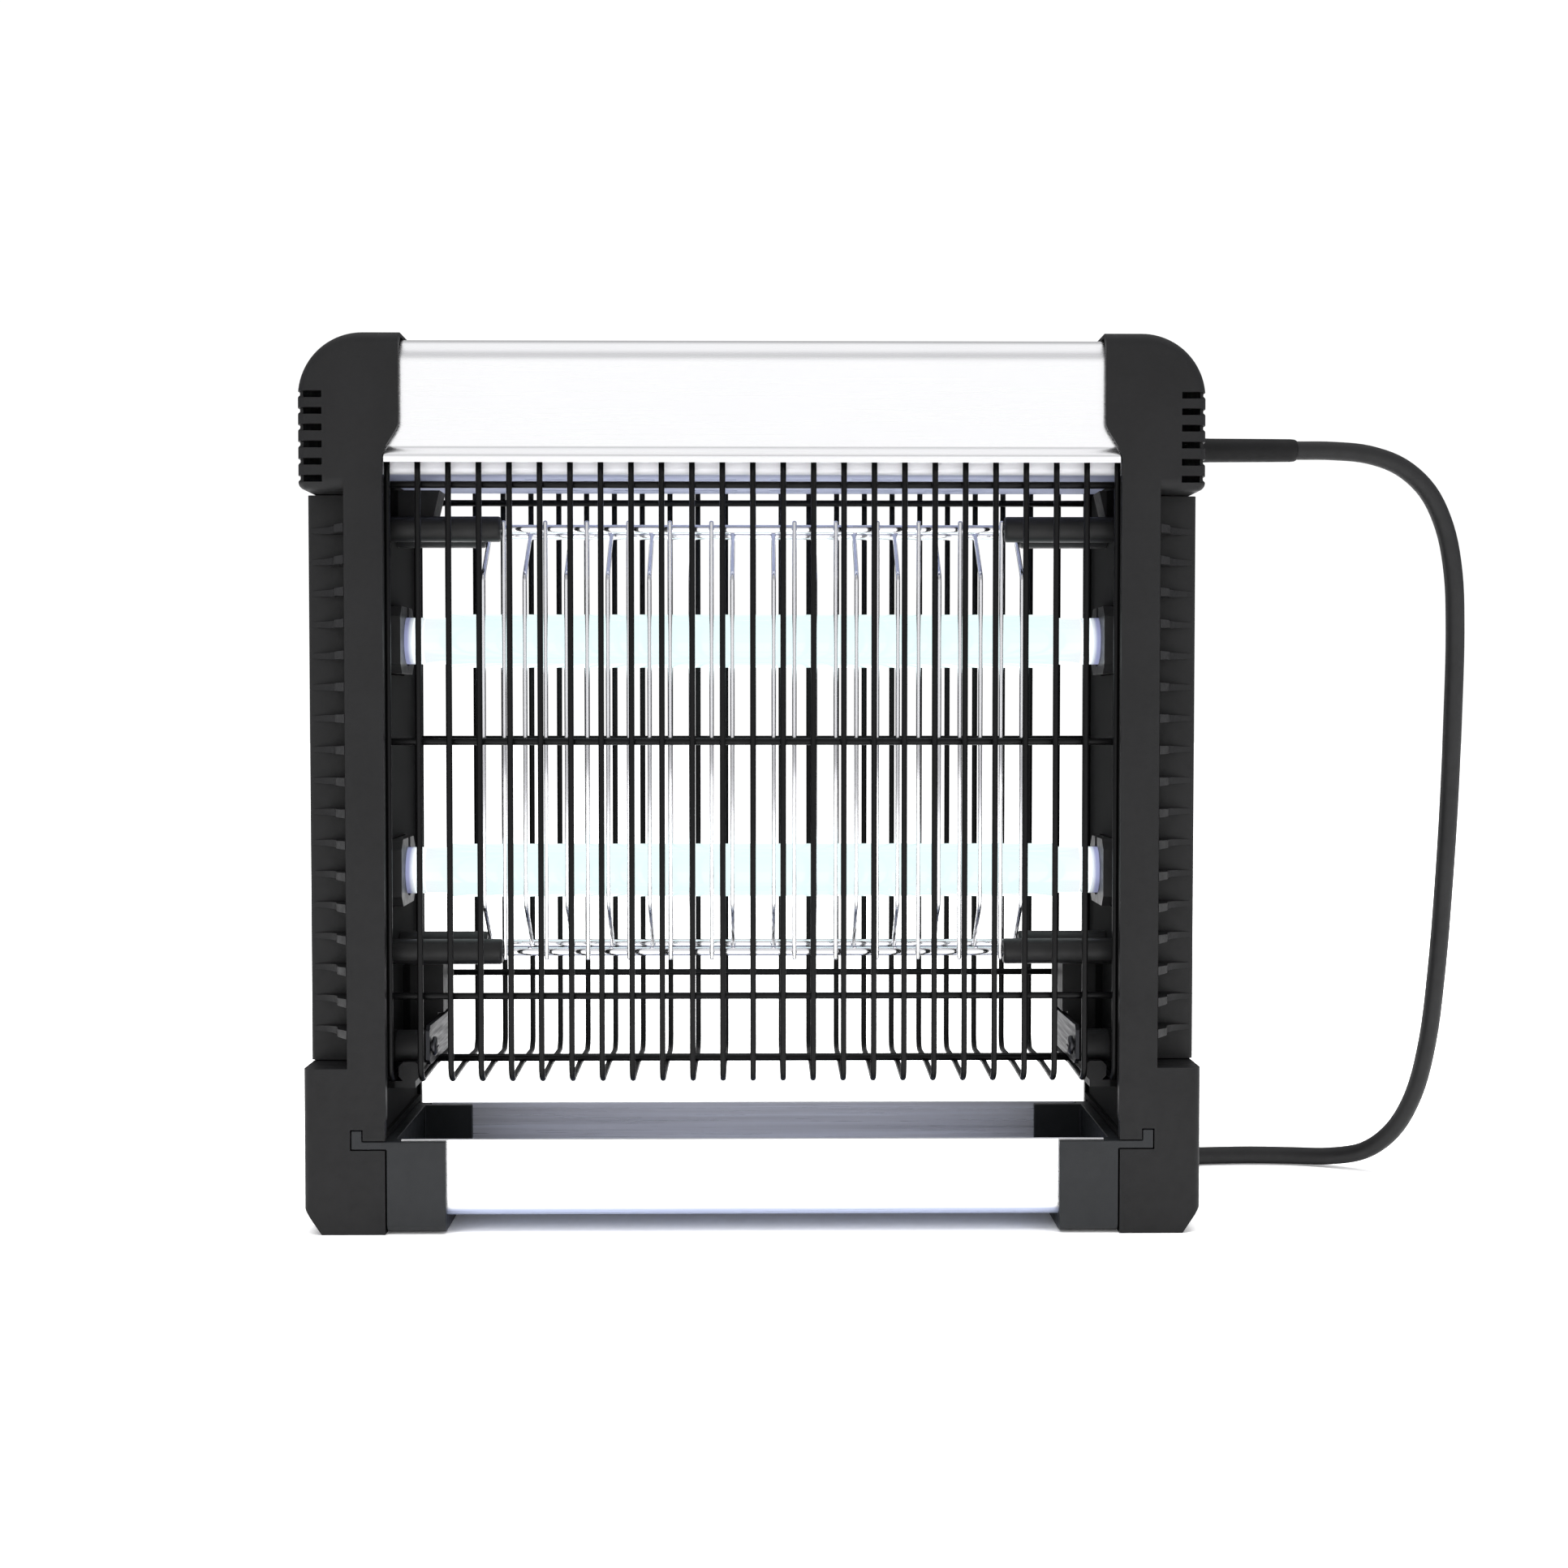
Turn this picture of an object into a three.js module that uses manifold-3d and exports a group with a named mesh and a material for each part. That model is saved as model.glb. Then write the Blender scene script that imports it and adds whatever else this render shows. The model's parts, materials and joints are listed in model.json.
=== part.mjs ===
// Electric bug zapper: two black end frames carry an aluminium hood, two fluorescent lamps, a high voltage
// grid, a front and a rear wire guard, and a catch tray that slides out to the front.
//
// Millimetres. The origin is on the table, under the middle of the cabinet. +X is to the right, -Y is the
// front and +Z is up. The cabinet is nearly the same left and right, so most pieces are described once, for
// the right-hand side, and mirrored.

import * as THREE from 'three';
import { mergeVertices } from 'three/addons/utils/BufferGeometryUtils.js';
import Module from 'manifold-3d';

const wasm = await Module();
wasm.setup();

// ---------------------------------------------------------------- driving dimensions

const GAP = 0.3; // between pieces that touch
const PAST = 1; // how far a cutting tool reaches past the face it opens

// cabinet
const HALF_W = 129.9;
const HALF_D = 35.5;
const HEIGHT = 258.9;
const CAP_BOTTOM = 214;
const CAP_CORNER = 18.5;
const CAP_FILLET = 3.5;
const CAP_WALL = 1.7;
const CAP_TOP_WALL = 1; // over the hood's end
const CAP_INNER_X = 100.8;
const S_CURVE_Z = [233.5, 230.2, 227, 222]; // a cap's inner edge, from its straight part to the pillar
const FRAME_INNER_X = 105.6;
const FLANGE_OUTER_X = 116.6;
const WALL_X = 107;
const WALL = 2.2;
const LIP_Y = 32;
const FOOT_TOP = 48;
const FOOT_INNER_X = 105.9;
const FOOT_OUTER_X = 129.3;
const FOOT_CHAMFER_X = 5.1;
const FOOT_CHAMFER_Z = 7.6;
const FOOT_WALL = 2.5;
const FOOT_FLOOR_Z = 21.9; // underside of the floor that closes the foot's lower hollow
const CHANNEL_Z = [33, 211.5];
const CHANNEL_MOUTH_HALF_D = 17.5;
const CHANNEL_MOUTH_X = 113; // where the channel narrows to its mouth
const RECESS_Z = [29, 220]; // the hollow in the inner wall
const PASSAGE_X = 118; // how far out the passages between a frame's hollows reach
const FOOT_SPACE_LOW_Z = 24.5;
const CAP_PASSAGE_HALF_D = 31;
const CAP_PASSAGE_Z = [216, 220];
const REST = { x: [97.5, 103.7], z: [42.6, 48.2], chamfer: 1.3, y: [[-24, -4], [4, 24]] };
const REST_STEM_Z = [40.6, 42.6];
const TOP_BLOCK = [[107.6, 216], [92.6, 216], [94.4, 208.3], [107.6, 208.3]];
const TOP_BLOCK_Y = [-12, 27];
const LOW_BLOCK = [
  [107.6, 52.7], [107.6, 78], [96.4, 78], [94.7, 76.3], [94.7, 58.8], [96.4, 58.8], [96.4, 52.7],
];
const LOW_BLOCK_Y = [5, 27];
const SCREW_POST = { r: 4, endX: 124.7 };

// vent grooves round the outer side of each cap
const GROOVE_Z = [217.1, 221.9, 226.8, 231.6, 236.3, 241];
const GROOVE_HEIGHT = 1.95;
const GROOVE_DEPTH = 0.8; // on the side; in front and behind it goes through the wall
const GROOVE_X = 122.6;

// louvre panel on the outer side of each frame
const PANEL_HALF_D = 20;
const PANEL_WALL = 2.2;
const FIN_COUNT = 17;
const FIN_PITCH = 9.1;
const FIN_FIRST_Z = 57.7;
const FIN_HEIGHT = 2.5;
const FIN_EDGE = [[116.9, 34.6], [120.2, 30.2], [120.8, 26.2], [123.2, 22.4]];
const PANEL_SCREW_Z = [60, 203];

// hood and its base plate
const HOOD_HALF_L = 105.2;
const HOOD_TOP = 257.6;
const HOOD_FACE_Y = 33.5;
const HOOD_WALL = 1.5;
const HOOD_CORNER = 7.4;
const HOOD_LIP_Y = 35.2;
const HOOD_LIP_Z = 221.8;
const HOOD_LIP_TOP_Z = 223.2;
const HOOD_FACE_Z = 226.6; // lower end of the flat face
const BASE_HALF_L = 112;
const BASE_HALF_D = 28;
const BASE_Z = 218.7;
const BASE_RIM_Z = 222.7;
const BASE_T = 1.2;

// lamps
const LAMP_Z = { upper: 171.9, lower: 102.7 };
const LAMP_R = 8;
const LAMP_GLASS_HALF_L = 91.7;
const LAMP_CAP_R = 7;
const LAMP_HALF_L = 106;
const LAMP_PIN_R = 1.15;
const LAMP_PIN_END = 113;
const LAMP_PIN_OFFSET = 2.375;
const HOLDER_X = [104, 116];
const HOLDER_Y = [-14.5, 11];
const HOLDER_HALF_H = 10;
const HOLDER_CHAMFER = 3;
const HOLDER_RECESS_X = 106.3;
const ROTOR_RECESS_X = 114;
const ROTOR_X = [106.6, 112.2];
const ROTOR_R = 6.2;

// high voltage grid
const GRID_PITCH = 12.15;
const GRID_WIRE = 1.15;
const GRID_ROD_R = 1.3;
const GRID_Y = -19;
const FRONT_ROD = { y: -17.5, z: [79.9, 204.1], halfL: 84 };
const MID_ROD = { y: 0, z: [80.4, 203.6], halfL: 90 };
const FRONT_WIRES = 13;
const FRONT_WIRE_Z = [77.6, 206.5];
const BENT_WIRES = 14;
const BENT_WIRE_Z = [93.7, 190.3];
const BENT_WIRE_END_Z = [79.6, 204.4];
const INSULATOR_R = 3.75;
const INSULATOR_BORE = 13;
const INSULATOR_ROOT_X = 106.7;
const FRONT_INSULATOR_X = 73.8;
const MID_INSULATOR_X = 80.3;

// guards
const GUARD_WIRES = 25;
const GUARD_PITCH = 8.75;
const GUARD_WIRE = 1.25;
const GUARD_Y = 30.2;
const GUARD_TOP = 226;
const GUARD_FLOOR = 43.6;
const GUARD_END_Z = 44.4;
const GUARD_BEND = 4.6;
const GUARD_END_Y = 0.5;
const GUARD_BAR = 1.6;
const GUARD_BAR_Z = [68.2, 142, 216];
const GUARD_BAR_Y = 28.8;
const GUARD_BAR_HALF_L = 106.4;
const GUARD_END_BAR = { y: 1.3, z: 45.5, halfL: 105.7, thickness: 1.4 };

// guard plate, its boss and its screw
const BOSS = { y: -18, z: 52, r: 4.8, x: 96.4 };
const PLATE_X = [94.9, 96.1];
const SCREW_R = 1.4;
const SCREW_HOLE_R = 1.8;

// tray
const TRAY_Y = [-33.6, 26.6];
const TRAY_Z = [4.6, 27.3];
const TRAY_T = 1.2;
const TRAY_BEND = 3;
const TRAY_HALF_L = 101.6;
const TRAY_CAP_X = [88.5, 105.5];
const TRAY_CAP_Y = [-35.5, 28.5];
const TRAY_CAP_Z = [0.5, 26.9];
const TRAY_RAIL = { x: [104, 115.6], z: [24.7, 26.9], hookX: 112.6, hookZ: 30.1 };
const RAIL_SLOT_END_Y = 30;

// power cord
const CORD_R = 2.8;
const CORD_Z = 229.4;
const GLAND_HOLE_R = 4;
const GLAND_END_X = 164;
const HANK = { x: 15, y: 75, halfRun: 35.5, outerR: 25.6, height: 12.2, leadX: 52 };
const HANK_LEAD_Y = 52.2;
const TIE = { halfW: 2, t: 0.8 };
const PLUG_Z = 8.3;
const PLUG_TAIL_X = -62.3;
const PLUG_BODY_X = [-110, -80];

// The cord's centre line from the strain relief to the hank: out, down beside the cabinet, then along the
// table and round behind it.
const CORD_ROUTE = [
  [164.3, 0, 229.4],
  [175, 0, 229.3],
  [186, 0.1, 228.2],
  [196, 0.6, 224.6],
  [204.4, 1.6, 217.4],
  [210.2, 3.2, 206.6],
  [213.6, 5.2, 192.8],
  [215.2, 7.8, 175],
  [215.8, 11, 150],
  [216, 14.6, 122],
  [215.8, 18.6, 95],
  [215.3, 22.8, 70],
  [214.2, 28, 46],
  [211.8, 34.6, 27.5],
  [207.2, 42, 14.5],
  [200.2, 49.4, 6.6],
  [190.4, 55.8, 3.5],
  [178.9, 59.8, 2.9],
  [166, 61.2, 2.85],
  [152, 60.6, 2.8],
  [137, 58.6, 2.8],
  [120, 56, 2.8],
  [103, 53.9, 2.8],
  [85, 52.6, 2.8],
  [67.3, 52.2, 2.8],
];
const CORD_STEPS = 34;

// ---------------------------------------------------------------- materials

function finish(color, roughness, metalness) {
  return { color, roughness, metalness };
}

const FINISHES = {
  blackPlastic: finish(0x2b2b2b, 0.55, 0),
  darkPlastic: finish(0x1d1d1e, 0.6, 0),
  brightAluminium: finish(0xe9ebee, 0.3, 0.9),
  dullAluminium: finish(0xb9bcc2, 0.45, 0.9),
  guardWire: finish(0x1a1a1b, 0.4, 0.2),
  chrome: finish(0xdadbe2, 0.12, 1),
  steel: finish(0x8c8f94, 0.4, 0.9),
  lampGlass: finish(0xe6ffff, 0.15, 0),
  lampCap: finish(0xe4e6f2, 0.4, 0.1),
  board: finish(0x1f6b3f, 0.6, 0),
  ballast: finish(0x9da1a6, 0.5, 0.6),
  ferrite: finish(0x3a3a3f, 0.7, 0),
  capacitor: finish(0x27335c, 0.45, 0),
  terminal: finish(0xdfe0dc, 0.5, 0),
  cordRubber: finish(0x161616, 0.65, 0),
  blade: finish(0xc9a552, 0.3, 1),
};

// ---------------------------------------------------------------- shapes and solids

function box(x, y, z) {
  const geometry = new THREE.BoxGeometry(x[1] - x[0], y[1] - y[0], z[1] - z[0]);
  return geometry.translate((x[0] + x[1]) / 2, (y[0] + y[1]) / 2, (z[0] + z[1]) / 2);
}

// A cylinder along X.
function rod(x, y, z, radius, sides = 16) {
  const geometry = new THREE.CylinderGeometry(radius, radius, x[1] - x[0], sides);
  return geometry.rotateZ(Math.PI / 2).translate((x[0] + x[1]) / 2, y, z);
}

// A square bar along X, centred on x = 0.
function bar(halfLength, y, z, thickness) {
  return new THREE.BoxGeometry(2 * halfLength, thickness, thickness).translate(0, y, z);
}

function shapeOf(points) {
  return new THREE.Shape(points.map(([a, b]) => new THREE.Vector2(a, b)));
}

// An outline in X and Z, extruded along Y.
function extrudeY(shape, y, options = { bevelEnabled: false }) {
  const geometry = new THREE.ExtrudeGeometry(shape, { depth: y[1] - y[0], ...options });
  return geometry.rotateX(Math.PI / 2).translate(0, y[1], 0);
}

// An outline in Y and Z, extruded along X.
function extrudeX(shape, x) {
  const geometry = new THREE.ExtrudeGeometry(shape, { depth: x[1] - x[0], bevelEnabled: false });
  return geometry.rotateX(Math.PI / 2).rotateZ(Math.PI / 2).translate(x[0], 0, 0);
}

// An outline in X and Y, extruded along Z.
function extrudeZ(shape, z) {
  const settings = { depth: z[1] - z[0], bevelEnabled: false };
  return new THREE.ExtrudeGeometry(shape, settings).translate(0, 0, z[0]);
}

// A profile of [radius, x] points turned about the X axis.
function turned(profile, sides = 20) {
  const points = profile.map(([radius, x]) => new THREE.Vector2(radius, x));
  return new THREE.LatheGeometry(points, sides).rotateZ(-Math.PI / 2);
}

function merged(geometry) {
  const copy = geometry.clone();
  copy.deleteAttribute('normal');
  copy.deleteAttribute('uv');
  return mergeVertices(copy, 1e-4);
}

function solid(geometry) {
  const mesh = merged(geometry);
  const vertProperties = new Float32Array(mesh.attributes.position.array);
  const triVerts = new Uint32Array(mesh.index.array);
  return new wasm.Manifold(new wasm.Mesh({ numProp: 3, vertProperties, triVerts }));
}

function geometryOf(manifold) {
  const mesh = manifold.getMesh();
  const geometry = new THREE.BufferGeometry();
  geometry.setAttribute('position', new THREE.BufferAttribute(new Float32Array(mesh.vertProperties), 3));
  geometry.setIndex(new THREE.BufferAttribute(new Uint32Array(mesh.triVerts), 1));
  return geometry;
}

function joined(geometries) {
  return geometries.map(solid).reduce((whole, piece) => whole.add(piece));
}

function cut(whole, geometries) {
  return geometries.map(solid).reduce((rest, tool) => rest.subtract(tool), whole);
}

// The left-hand copy of a right-hand piece: X changes sign, and each triangle turns round to face out.
function mirrored(geometry) {
  const copy = merged(geometry).scale(-1, 1, 1);
  const index = copy.index.array;
  for (let i = 0; i < index.length; i += 3) {
    [index[i], index[i + 1]] = [index[i + 1], index[i]];
  }
  return copy;
}

// The outline of a bent wire or sheet: a centre line given by its points, with a thickness.
function strip(points, thickness) {
  const line = points.map(([a, b]) => new THREE.Vector2(a, b));
  const sides = [[], []];
  line.forEach((point, i) => {
    const into = (i > 0 ? point.clone().sub(line[i - 1]) : line[1].clone().sub(point)).normalize();
    const out = (i < line.length - 1 ? line[i + 1].clone().sub(point) : into.clone()).normalize();
    const along = into.clone().add(out).normalize();
    const reach = thickness / 2 / along.dot(into);
    const across = new THREE.Vector2(-along.y, along.x).multiplyScalar(reach);
    sides[0].push(point.clone().add(across));
    sides[1].unshift(point.clone().sub(across));
  });
  return new THREE.Shape([...sides[0], ...sides[1]]);
}

// Points of an arc about (a, b), from one angle to another in degrees.
function arc(a, b, radius, from, to, steps) {
  const points = [];
  for (let i = 0; i <= steps; i += 1) {
    const angle = THREE.MathUtils.degToRad(from + ((to - from) * i) / steps);
    points.push([a + radius * Math.cos(angle), b + radius * Math.sin(angle)]);
  }
  return points;
}

const model = new THREE.Group();

function mesh(name, geometry, look, parent = model) {
  const piece = new THREE.Mesh(geometry, new THREE.MeshStandardMaterial(FINISHES[look]));
  piece.name = name;
  parent.add(piece);
  return piece;
}

// ---------------------------------------------------------------- end frames

// The inner edge of a cap: straight down, then an S-curve out to the pillar's flange.
const S_CURVE = new THREE.CubicBezierCurve(
  new THREE.Vector2(CAP_INNER_X, S_CURVE_Z[0]),
  new THREE.Vector2(CAP_INNER_X, S_CURVE_Z[1]),
  new THREE.Vector2(FRAME_INNER_X, S_CURVE_Z[2]),
  new THREE.Vector2(FRAME_INNER_X, S_CURVE_Z[3]),
);

function sCurvePoints(shift) {
  return S_CURVE.getPoints(8).map((point) => [point.x + shift, point.y]);
}

function capOutline(inset, innerX) {
  const top = HEIGHT - inset;
  const outer = HALF_W - inset;
  const radius = CAP_CORNER - inset;
  return shapeOf([
    [innerX, CAP_BOTTOM + inset],
    [outer, CAP_BOTTOM + inset],
    ...arc(outer - radius, top - radius, radius, 0, 90, 7),
    [innerX, top],
  ]);
}

function capBlock() {
  const rounded = {
    bevelEnabled: true,
    bevelSize: CAP_FILLET,
    bevelThickness: CAP_FILLET,
    bevelSegments: 3,
  };
  const y = [-HALF_D + CAP_FILLET, HALF_D - CAP_FILLET];
  return extrudeY(capOutline(CAP_FILLET, CAP_INNER_X - 6), y, rounded);
}

function capInnerEdge() {
  const [past, low, high] = [CAP_INNER_X - 10, CAP_BOTTOM - 10, HEIGHT + 4];
  const edge = [[FRAME_INNER_X, low], ...sCurvePoints(0).reverse(), [CAP_INNER_X, high]];
  return extrudeY(shapeOf([[past, low], ...edge, [past, high]]), [-HALF_D - 4, HALF_D + 4]);
}

function capCavity() {
  const y = [-HALF_D + CAP_WALL, HALF_D - CAP_WALL];
  return extrudeY(capOutline(CAP_WALL, WALL_X + WALL), y);
}

// The opening that the hood's end goes into, with its upper corners cut off inside the cap's rounded edges.
function capMouth() {
  const [low, top, y] = [BASE_Z - GAP, HEIGHT - CAP_TOP_WALL, HALF_D - CAP_WALL];
  const corner = 3.2;
  const outline = [
    [-y, low], [y, low], [y, top - corner], [y - corner, top], [corner - y, top], [-y, top - corner],
  ];
  return extrudeX(shapeOf(outline), [CAP_INNER_X - 10, WALL_X + WALL + PAST]);
}

function capGrooves() {
  const through = HALF_D - CAP_WALL - GAP;
  const tools = [];
  GROOVE_Z.forEach((z) => {
    const height = [z - GROOVE_HEIGHT / 2, z + GROOVE_HEIGHT / 2];
    tools.push(box([HALF_W - GROOVE_DEPTH, HALF_W + PAST], [-HALF_D - PAST, HALF_D + PAST], height));
    tools.push(box([GROOVE_X, HALF_W + PAST], [-HALF_D - PAST, -through], height));
    tools.push(box([GROOVE_X, HALF_W + PAST], [through, HALF_D + PAST], height));
  });
  return tools;
}

function footOutline() {
  return shapeOf([
    [FOOT_INNER_X, 0],
    [FOOT_OUTER_X - FOOT_CHAMFER_X, 0],
    [FOOT_OUTER_X, FOOT_CHAMFER_Z],
    [FOOT_OUTER_X, FOOT_TOP],
    [FOOT_INNER_X, FOOT_TOP],
  ]);
}

// The foot is open below.
function footCavity() {
  const [inner, outer, depth] = [FOOT_INNER_X + FOOT_WALL, FOOT_OUTER_X - FOOT_WALL, HALF_D - FOOT_WALL];
  const chamfer = [[outer - FOOT_CHAMFER_X, -PAST], [outer, FOOT_CHAMFER_Z]];
  const outline = [[inner, -PAST], ...chamfer, [outer, FOOT_FLOOR_Z], [inner, FOOT_FLOOR_Z]];
  return extrudeY(shapeOf(outline), [-depth, depth]);
}

function railSlots() {
  const y = [-HALF_D - PAST, RAIL_SLOT_END_Y];
  const { x, z, hookX, hookZ } = TRAY_RAIL;
  return [
    box([x[0], x[1] + GAP], y, [z[0] - GAP, z[1] + GAP]),
    box([hookX - GAP, x[1] + GAP], y, [z[1], hookZ + GAP]),
  ];
}

// Two blocks stand on the inner wall: under the hood, and beside the lower rods of the grid.
function wallBlocks() {
  return [extrudeY(shapeOf(TOP_BLOCK), TOP_BLOCK_Y), extrudeY(shapeOf(LOW_BLOCK), LOW_BLOCK_Y)];
}

// An eight-sided bar on a stem. The guard's outermost wire lies on the stem, beside the bar.
function guardRest(y) {
  const { x: [x0, x1], z: [z0, z1], chamfer: c } = REST;
  const outline = [
    [x0 + c, z0], [x1 - c, z0], [x1, z0 + c], [x1, z1 - c],
    [x1 - c, z1], [x0 + c, z1], [x0, z1 - c], [x0, z0 + c],
  ];
  return [extrudeY(shapeOf(outline), y), box([x0 + c, WALL_X + 0.6], y, REST_STEM_Z)];
}

function lampWindows() {
  return Object.values(LAMP_Z).map((z) => {
    const y = [HOLDER_Y[0] - GAP, HOLDER_Y[1] + GAP];
    return box([WALL_X - 3, WALL_X + WALL + PAST], y, [z - HOLDER_HALF_H - GAP, z + HOLDER_HALF_H + GAP]);
  });
}

// The pillar is a channel that opens to the outer side, where the louvre panel covers it.
function pillarBlock() {
  const corner = arc(FRAME_INNER_X + 4, 34, 4, 180, 270, 4);
  const [low, high] = [corner[4][1], CAP_BOTTOM + 5];
  const outline = [...corner, [FLANGE_OUTER_X, low], [FLANGE_OUTER_X, high], [FRAME_INNER_X, high]];
  return extrudeY(shapeOf(outline), [-HALF_D, HALF_D]);
}

function frameHollows() {
  const footY = [-HALF_D + FOOT_WALL, HALF_D - FOOT_WALL];
  const capY = [-HALF_D + CAP_WALL, HALF_D - CAP_WALL];
  const mouthY = [-CHANNEL_MOUTH_HALF_D, CHANNEL_MOUTH_HALF_D];
  const passageY = [-CAP_PASSAGE_HALF_D, CAP_PASSAGE_HALF_D];
  const [wallBack, channelX] = [WALL_X + WALL, FLANGE_OUTER_X - FOOT_WALL];
  const footTop = FOOT_TOP - FOOT_WALL;
  const recess = box([WALL_X - 3, WALL_X], [-LIP_Y, LIP_Y], RECESS_Z);
  const channel = box([wallBack, channelX], footY, CHANNEL_Z);
  const channelMouth = box([CHANNEL_MOUTH_X, FLANGE_OUTER_X + PAST], mouthY, [FOOT_TOP, CHANNEL_Z[1]]);
  const footSpace = box([PASSAGE_X, FOOT_OUTER_X - FOOT_WALL], footY, [FOOT_SPACE_LOW_Z, footTop]);
  const footPassage = box([channelX - 0.1, PASSAGE_X + PAST], footY, [CHANNEL_Z[0], footTop]);
  const plateSlot = box([FRAME_INNER_X - PAST, PASSAGE_X], capY, [BASE_Z - GAP, CAP_PASSAGE_Z[1]]);
  const capPassage = box([wallBack, PASSAGE_X], passageY, CAP_PASSAGE_Z);
  return [
    recess, channel, channelMouth, footSpace, footPassage, plateSlot, capPassage,
    footCavity(), ...railSlots(),
  ];
}

function endFrame(withGland) {
  const cap = cut(solid(capBlock()), [capInnerEdge(), capCavity(), capMouth(), ...capGrooves()]);
  const foot = solid(extrudeY(footOutline(), [-HALF_D, HALF_D]));
  const shell = cut(cap.add(solid(pillarBlock())).add(foot), frameHollows());
  const added = [
    ...wallBlocks(),
    ...REST.y.flatMap(guardRest),
    ...PANEL_SCREW_Z.map((z) => rod([WALL_X + 1, SCREW_POST.endX], 0, z, SCREW_POST.r, 12)),
    rod([BOSS.x, WALL_X + 1], BOSS.y, BOSS.z, BOSS.r, 16),
  ];
  const holes = [
    ...lampWindows(),
    ...PANEL_SCREW_Z.map((z) => rod([112, 126], 0, z, SCREW_HOLE_R, 10)),
    rod([BOSS.x - PAST, FRAME_INNER_X], BOSS.y, BOSS.z, SCREW_HOLE_R, 10),
  ];
  if (withGland) {
    holes.push(rod([HALF_W - 3, HALF_W + PAST], 0, CORD_Z, GLAND_HOLE_R, 16));
  }
  return geometryOf(cut(shell.add(joined(added)), holes));
}

mesh('right_end_frame', endFrame(true), 'blackPlastic');
mesh('left_end_frame', mirrored(endFrame(false)), 'blackPlastic');

// ---------------------------------------------------------------- louvre panels

// A fin stands in the corner between the flange and the panel, deepest beside the flange.
function finOutline(side) {
  const root = FLANGE_OUTER_X + GAP;
  const inner = PANEL_HALF_D - 1.4;
  const points = [[root, inner], ...FIN_EDGE, [HALF_W - 1, PANEL_HALF_D], [HALF_W - 1, inner]];
  return shapeOf(points.map(([x, y]) => [x, side * y]));
}

function louvrePanel() {
  const z = [FOOT_TOP + GAP, CAP_BOTTOM - GAP];
  const inner = PANEL_HALF_D - 2;
  const hollow = box([115, HALF_W - PANEL_WALL], [-inner, inner], [z[0] - 1, z[1] + 1]);
  const sleeve = box([FLANGE_OUTER_X + GAP, HALF_W], [-PANEL_HALF_D, PANEL_HALF_D], z);
  const fins = [];
  for (let i = 0; i < FIN_COUNT; i += 1) {
    const middle = FIN_FIRST_Z + i * FIN_PITCH;
    const height = [middle - FIN_HEIGHT / 2, middle + FIN_HEIGHT / 2];
    fins.push(extrudeZ(finOutline(-1), height), extrudeZ(finOutline(1), height));
  }
  const pads = PANEL_SCREW_Z.map((height) => rod([125, HALF_W - 1], 0, height, 6, 12));
  const holes = PANEL_SCREW_Z.flatMap((height) => [
    rod([124, 130], 0, height, SCREW_HOLE_R, 10),
    rod([HALF_W - 2.1, HALF_W + PAST], 0, height, 3.4, 12),
  ]);
  return geometryOf(cut(cut(solid(sleeve), [hollow]).add(joined([...fins, ...pads])), holes));
}

mesh('right_louvre_panel', louvrePanel(), 'blackPlastic');
mesh('left_louvre_panel', mirrored(louvrePanel()), 'blackPlastic');

// A pan head screw along +X from its tip: shank, then head.
function screw(shankX, headX, headR) {
  const head = [[headR, headX[0]], [headR, headX[1]], [0, headX[1]]];
  return turned([[0, shankX], [SCREW_R, shankX], [SCREW_R, headX[0]], ...head], 10);
}

[['lower', PANEL_SCREW_Z[0]], ['upper', PANEL_SCREW_Z[1]]].forEach(([level, z]) => {
  const geometry = screw(113, [HALF_W - 1.8, HALF_W - 0.3], 3.05);
  mesh(`right_panel_screw_${level}`, geometry, 'steel').position.set(0, 0, z);
  mesh(`left_panel_screw_${level}`, mirrored(geometry), 'steel').position.set(0, 0, z);
});

// ---------------------------------------------------------------- hood

function hoodProfile() {
  const corner = HOOD_TOP - HOOD_CORNER;
  const across = HOOD_FACE_Y - HOOD_CORNER;
  const half = (face, lip, radius, lipZ) => [
    [lip, lipZ],
    [lip, HOOD_LIP_TOP_Z],
    [lip - 0.6, 224.5],
    [face, HOOD_FACE_Z],
    ...arc(across, corner, radius, 0, 90, 5),
  ];
  const outer = half(HOOD_FACE_Y, HOOD_LIP_Y, HOOD_CORNER, HOOD_LIP_Z);
  const inner = half(HOOD_FACE_Y - HOOD_WALL, HOOD_LIP_Y - HOOD_WALL, HOOD_CORNER - HOOD_WALL, HOOD_LIP_Z);
  const flip = (points) => points.map(([y, z]) => [-y, z]).reverse();
  return shapeOf([...outer, ...flip(outer), ...flip(inner).reverse(), ...[...inner].reverse()]);
}

// The lip is trimmed to the caps' S-curve, where it stands out as far as they do.
function hoodTrims() {
  const outline = shapeOf([...sCurvePoints(-GAP), [108, 221], [108, S_CURVE_Z[0]]]);
  const right = [extrudeY(outline, [-40, -HOOD_FACE_Y]), extrudeY(outline, [HOOD_FACE_Y, 40])];
  return [...right, ...right.map(mirrored)];
}

function hood() {
  const profile = solid(extrudeX(hoodProfile(), [-HOOD_HALF_L, HOOD_HALF_L]));
  return geometryOf(cut(profile, hoodTrims()));
}

function basePlate() {
  const y = BASE_HALF_D - BASE_T / 2;
  const z = BASE_Z + BASE_T / 2;
  const line = [[-y, BASE_RIM_Z], [-y, z], [y, z], [y, BASE_RIM_Z]];
  return extrudeX(strip(line, BASE_T), [-BASE_HALF_L, BASE_HALF_L]);
}

mesh('hood', hood(), 'brightAluminium');
mesh('hood_base_plate', basePlate(), 'dullAluminium');

// ---------------------------------------------------------------- electronics under the hood

const electronics = new THREE.Group();
electronics.position.z = BASE_Z + BASE_T + GAP;
model.add(electronics);

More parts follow.
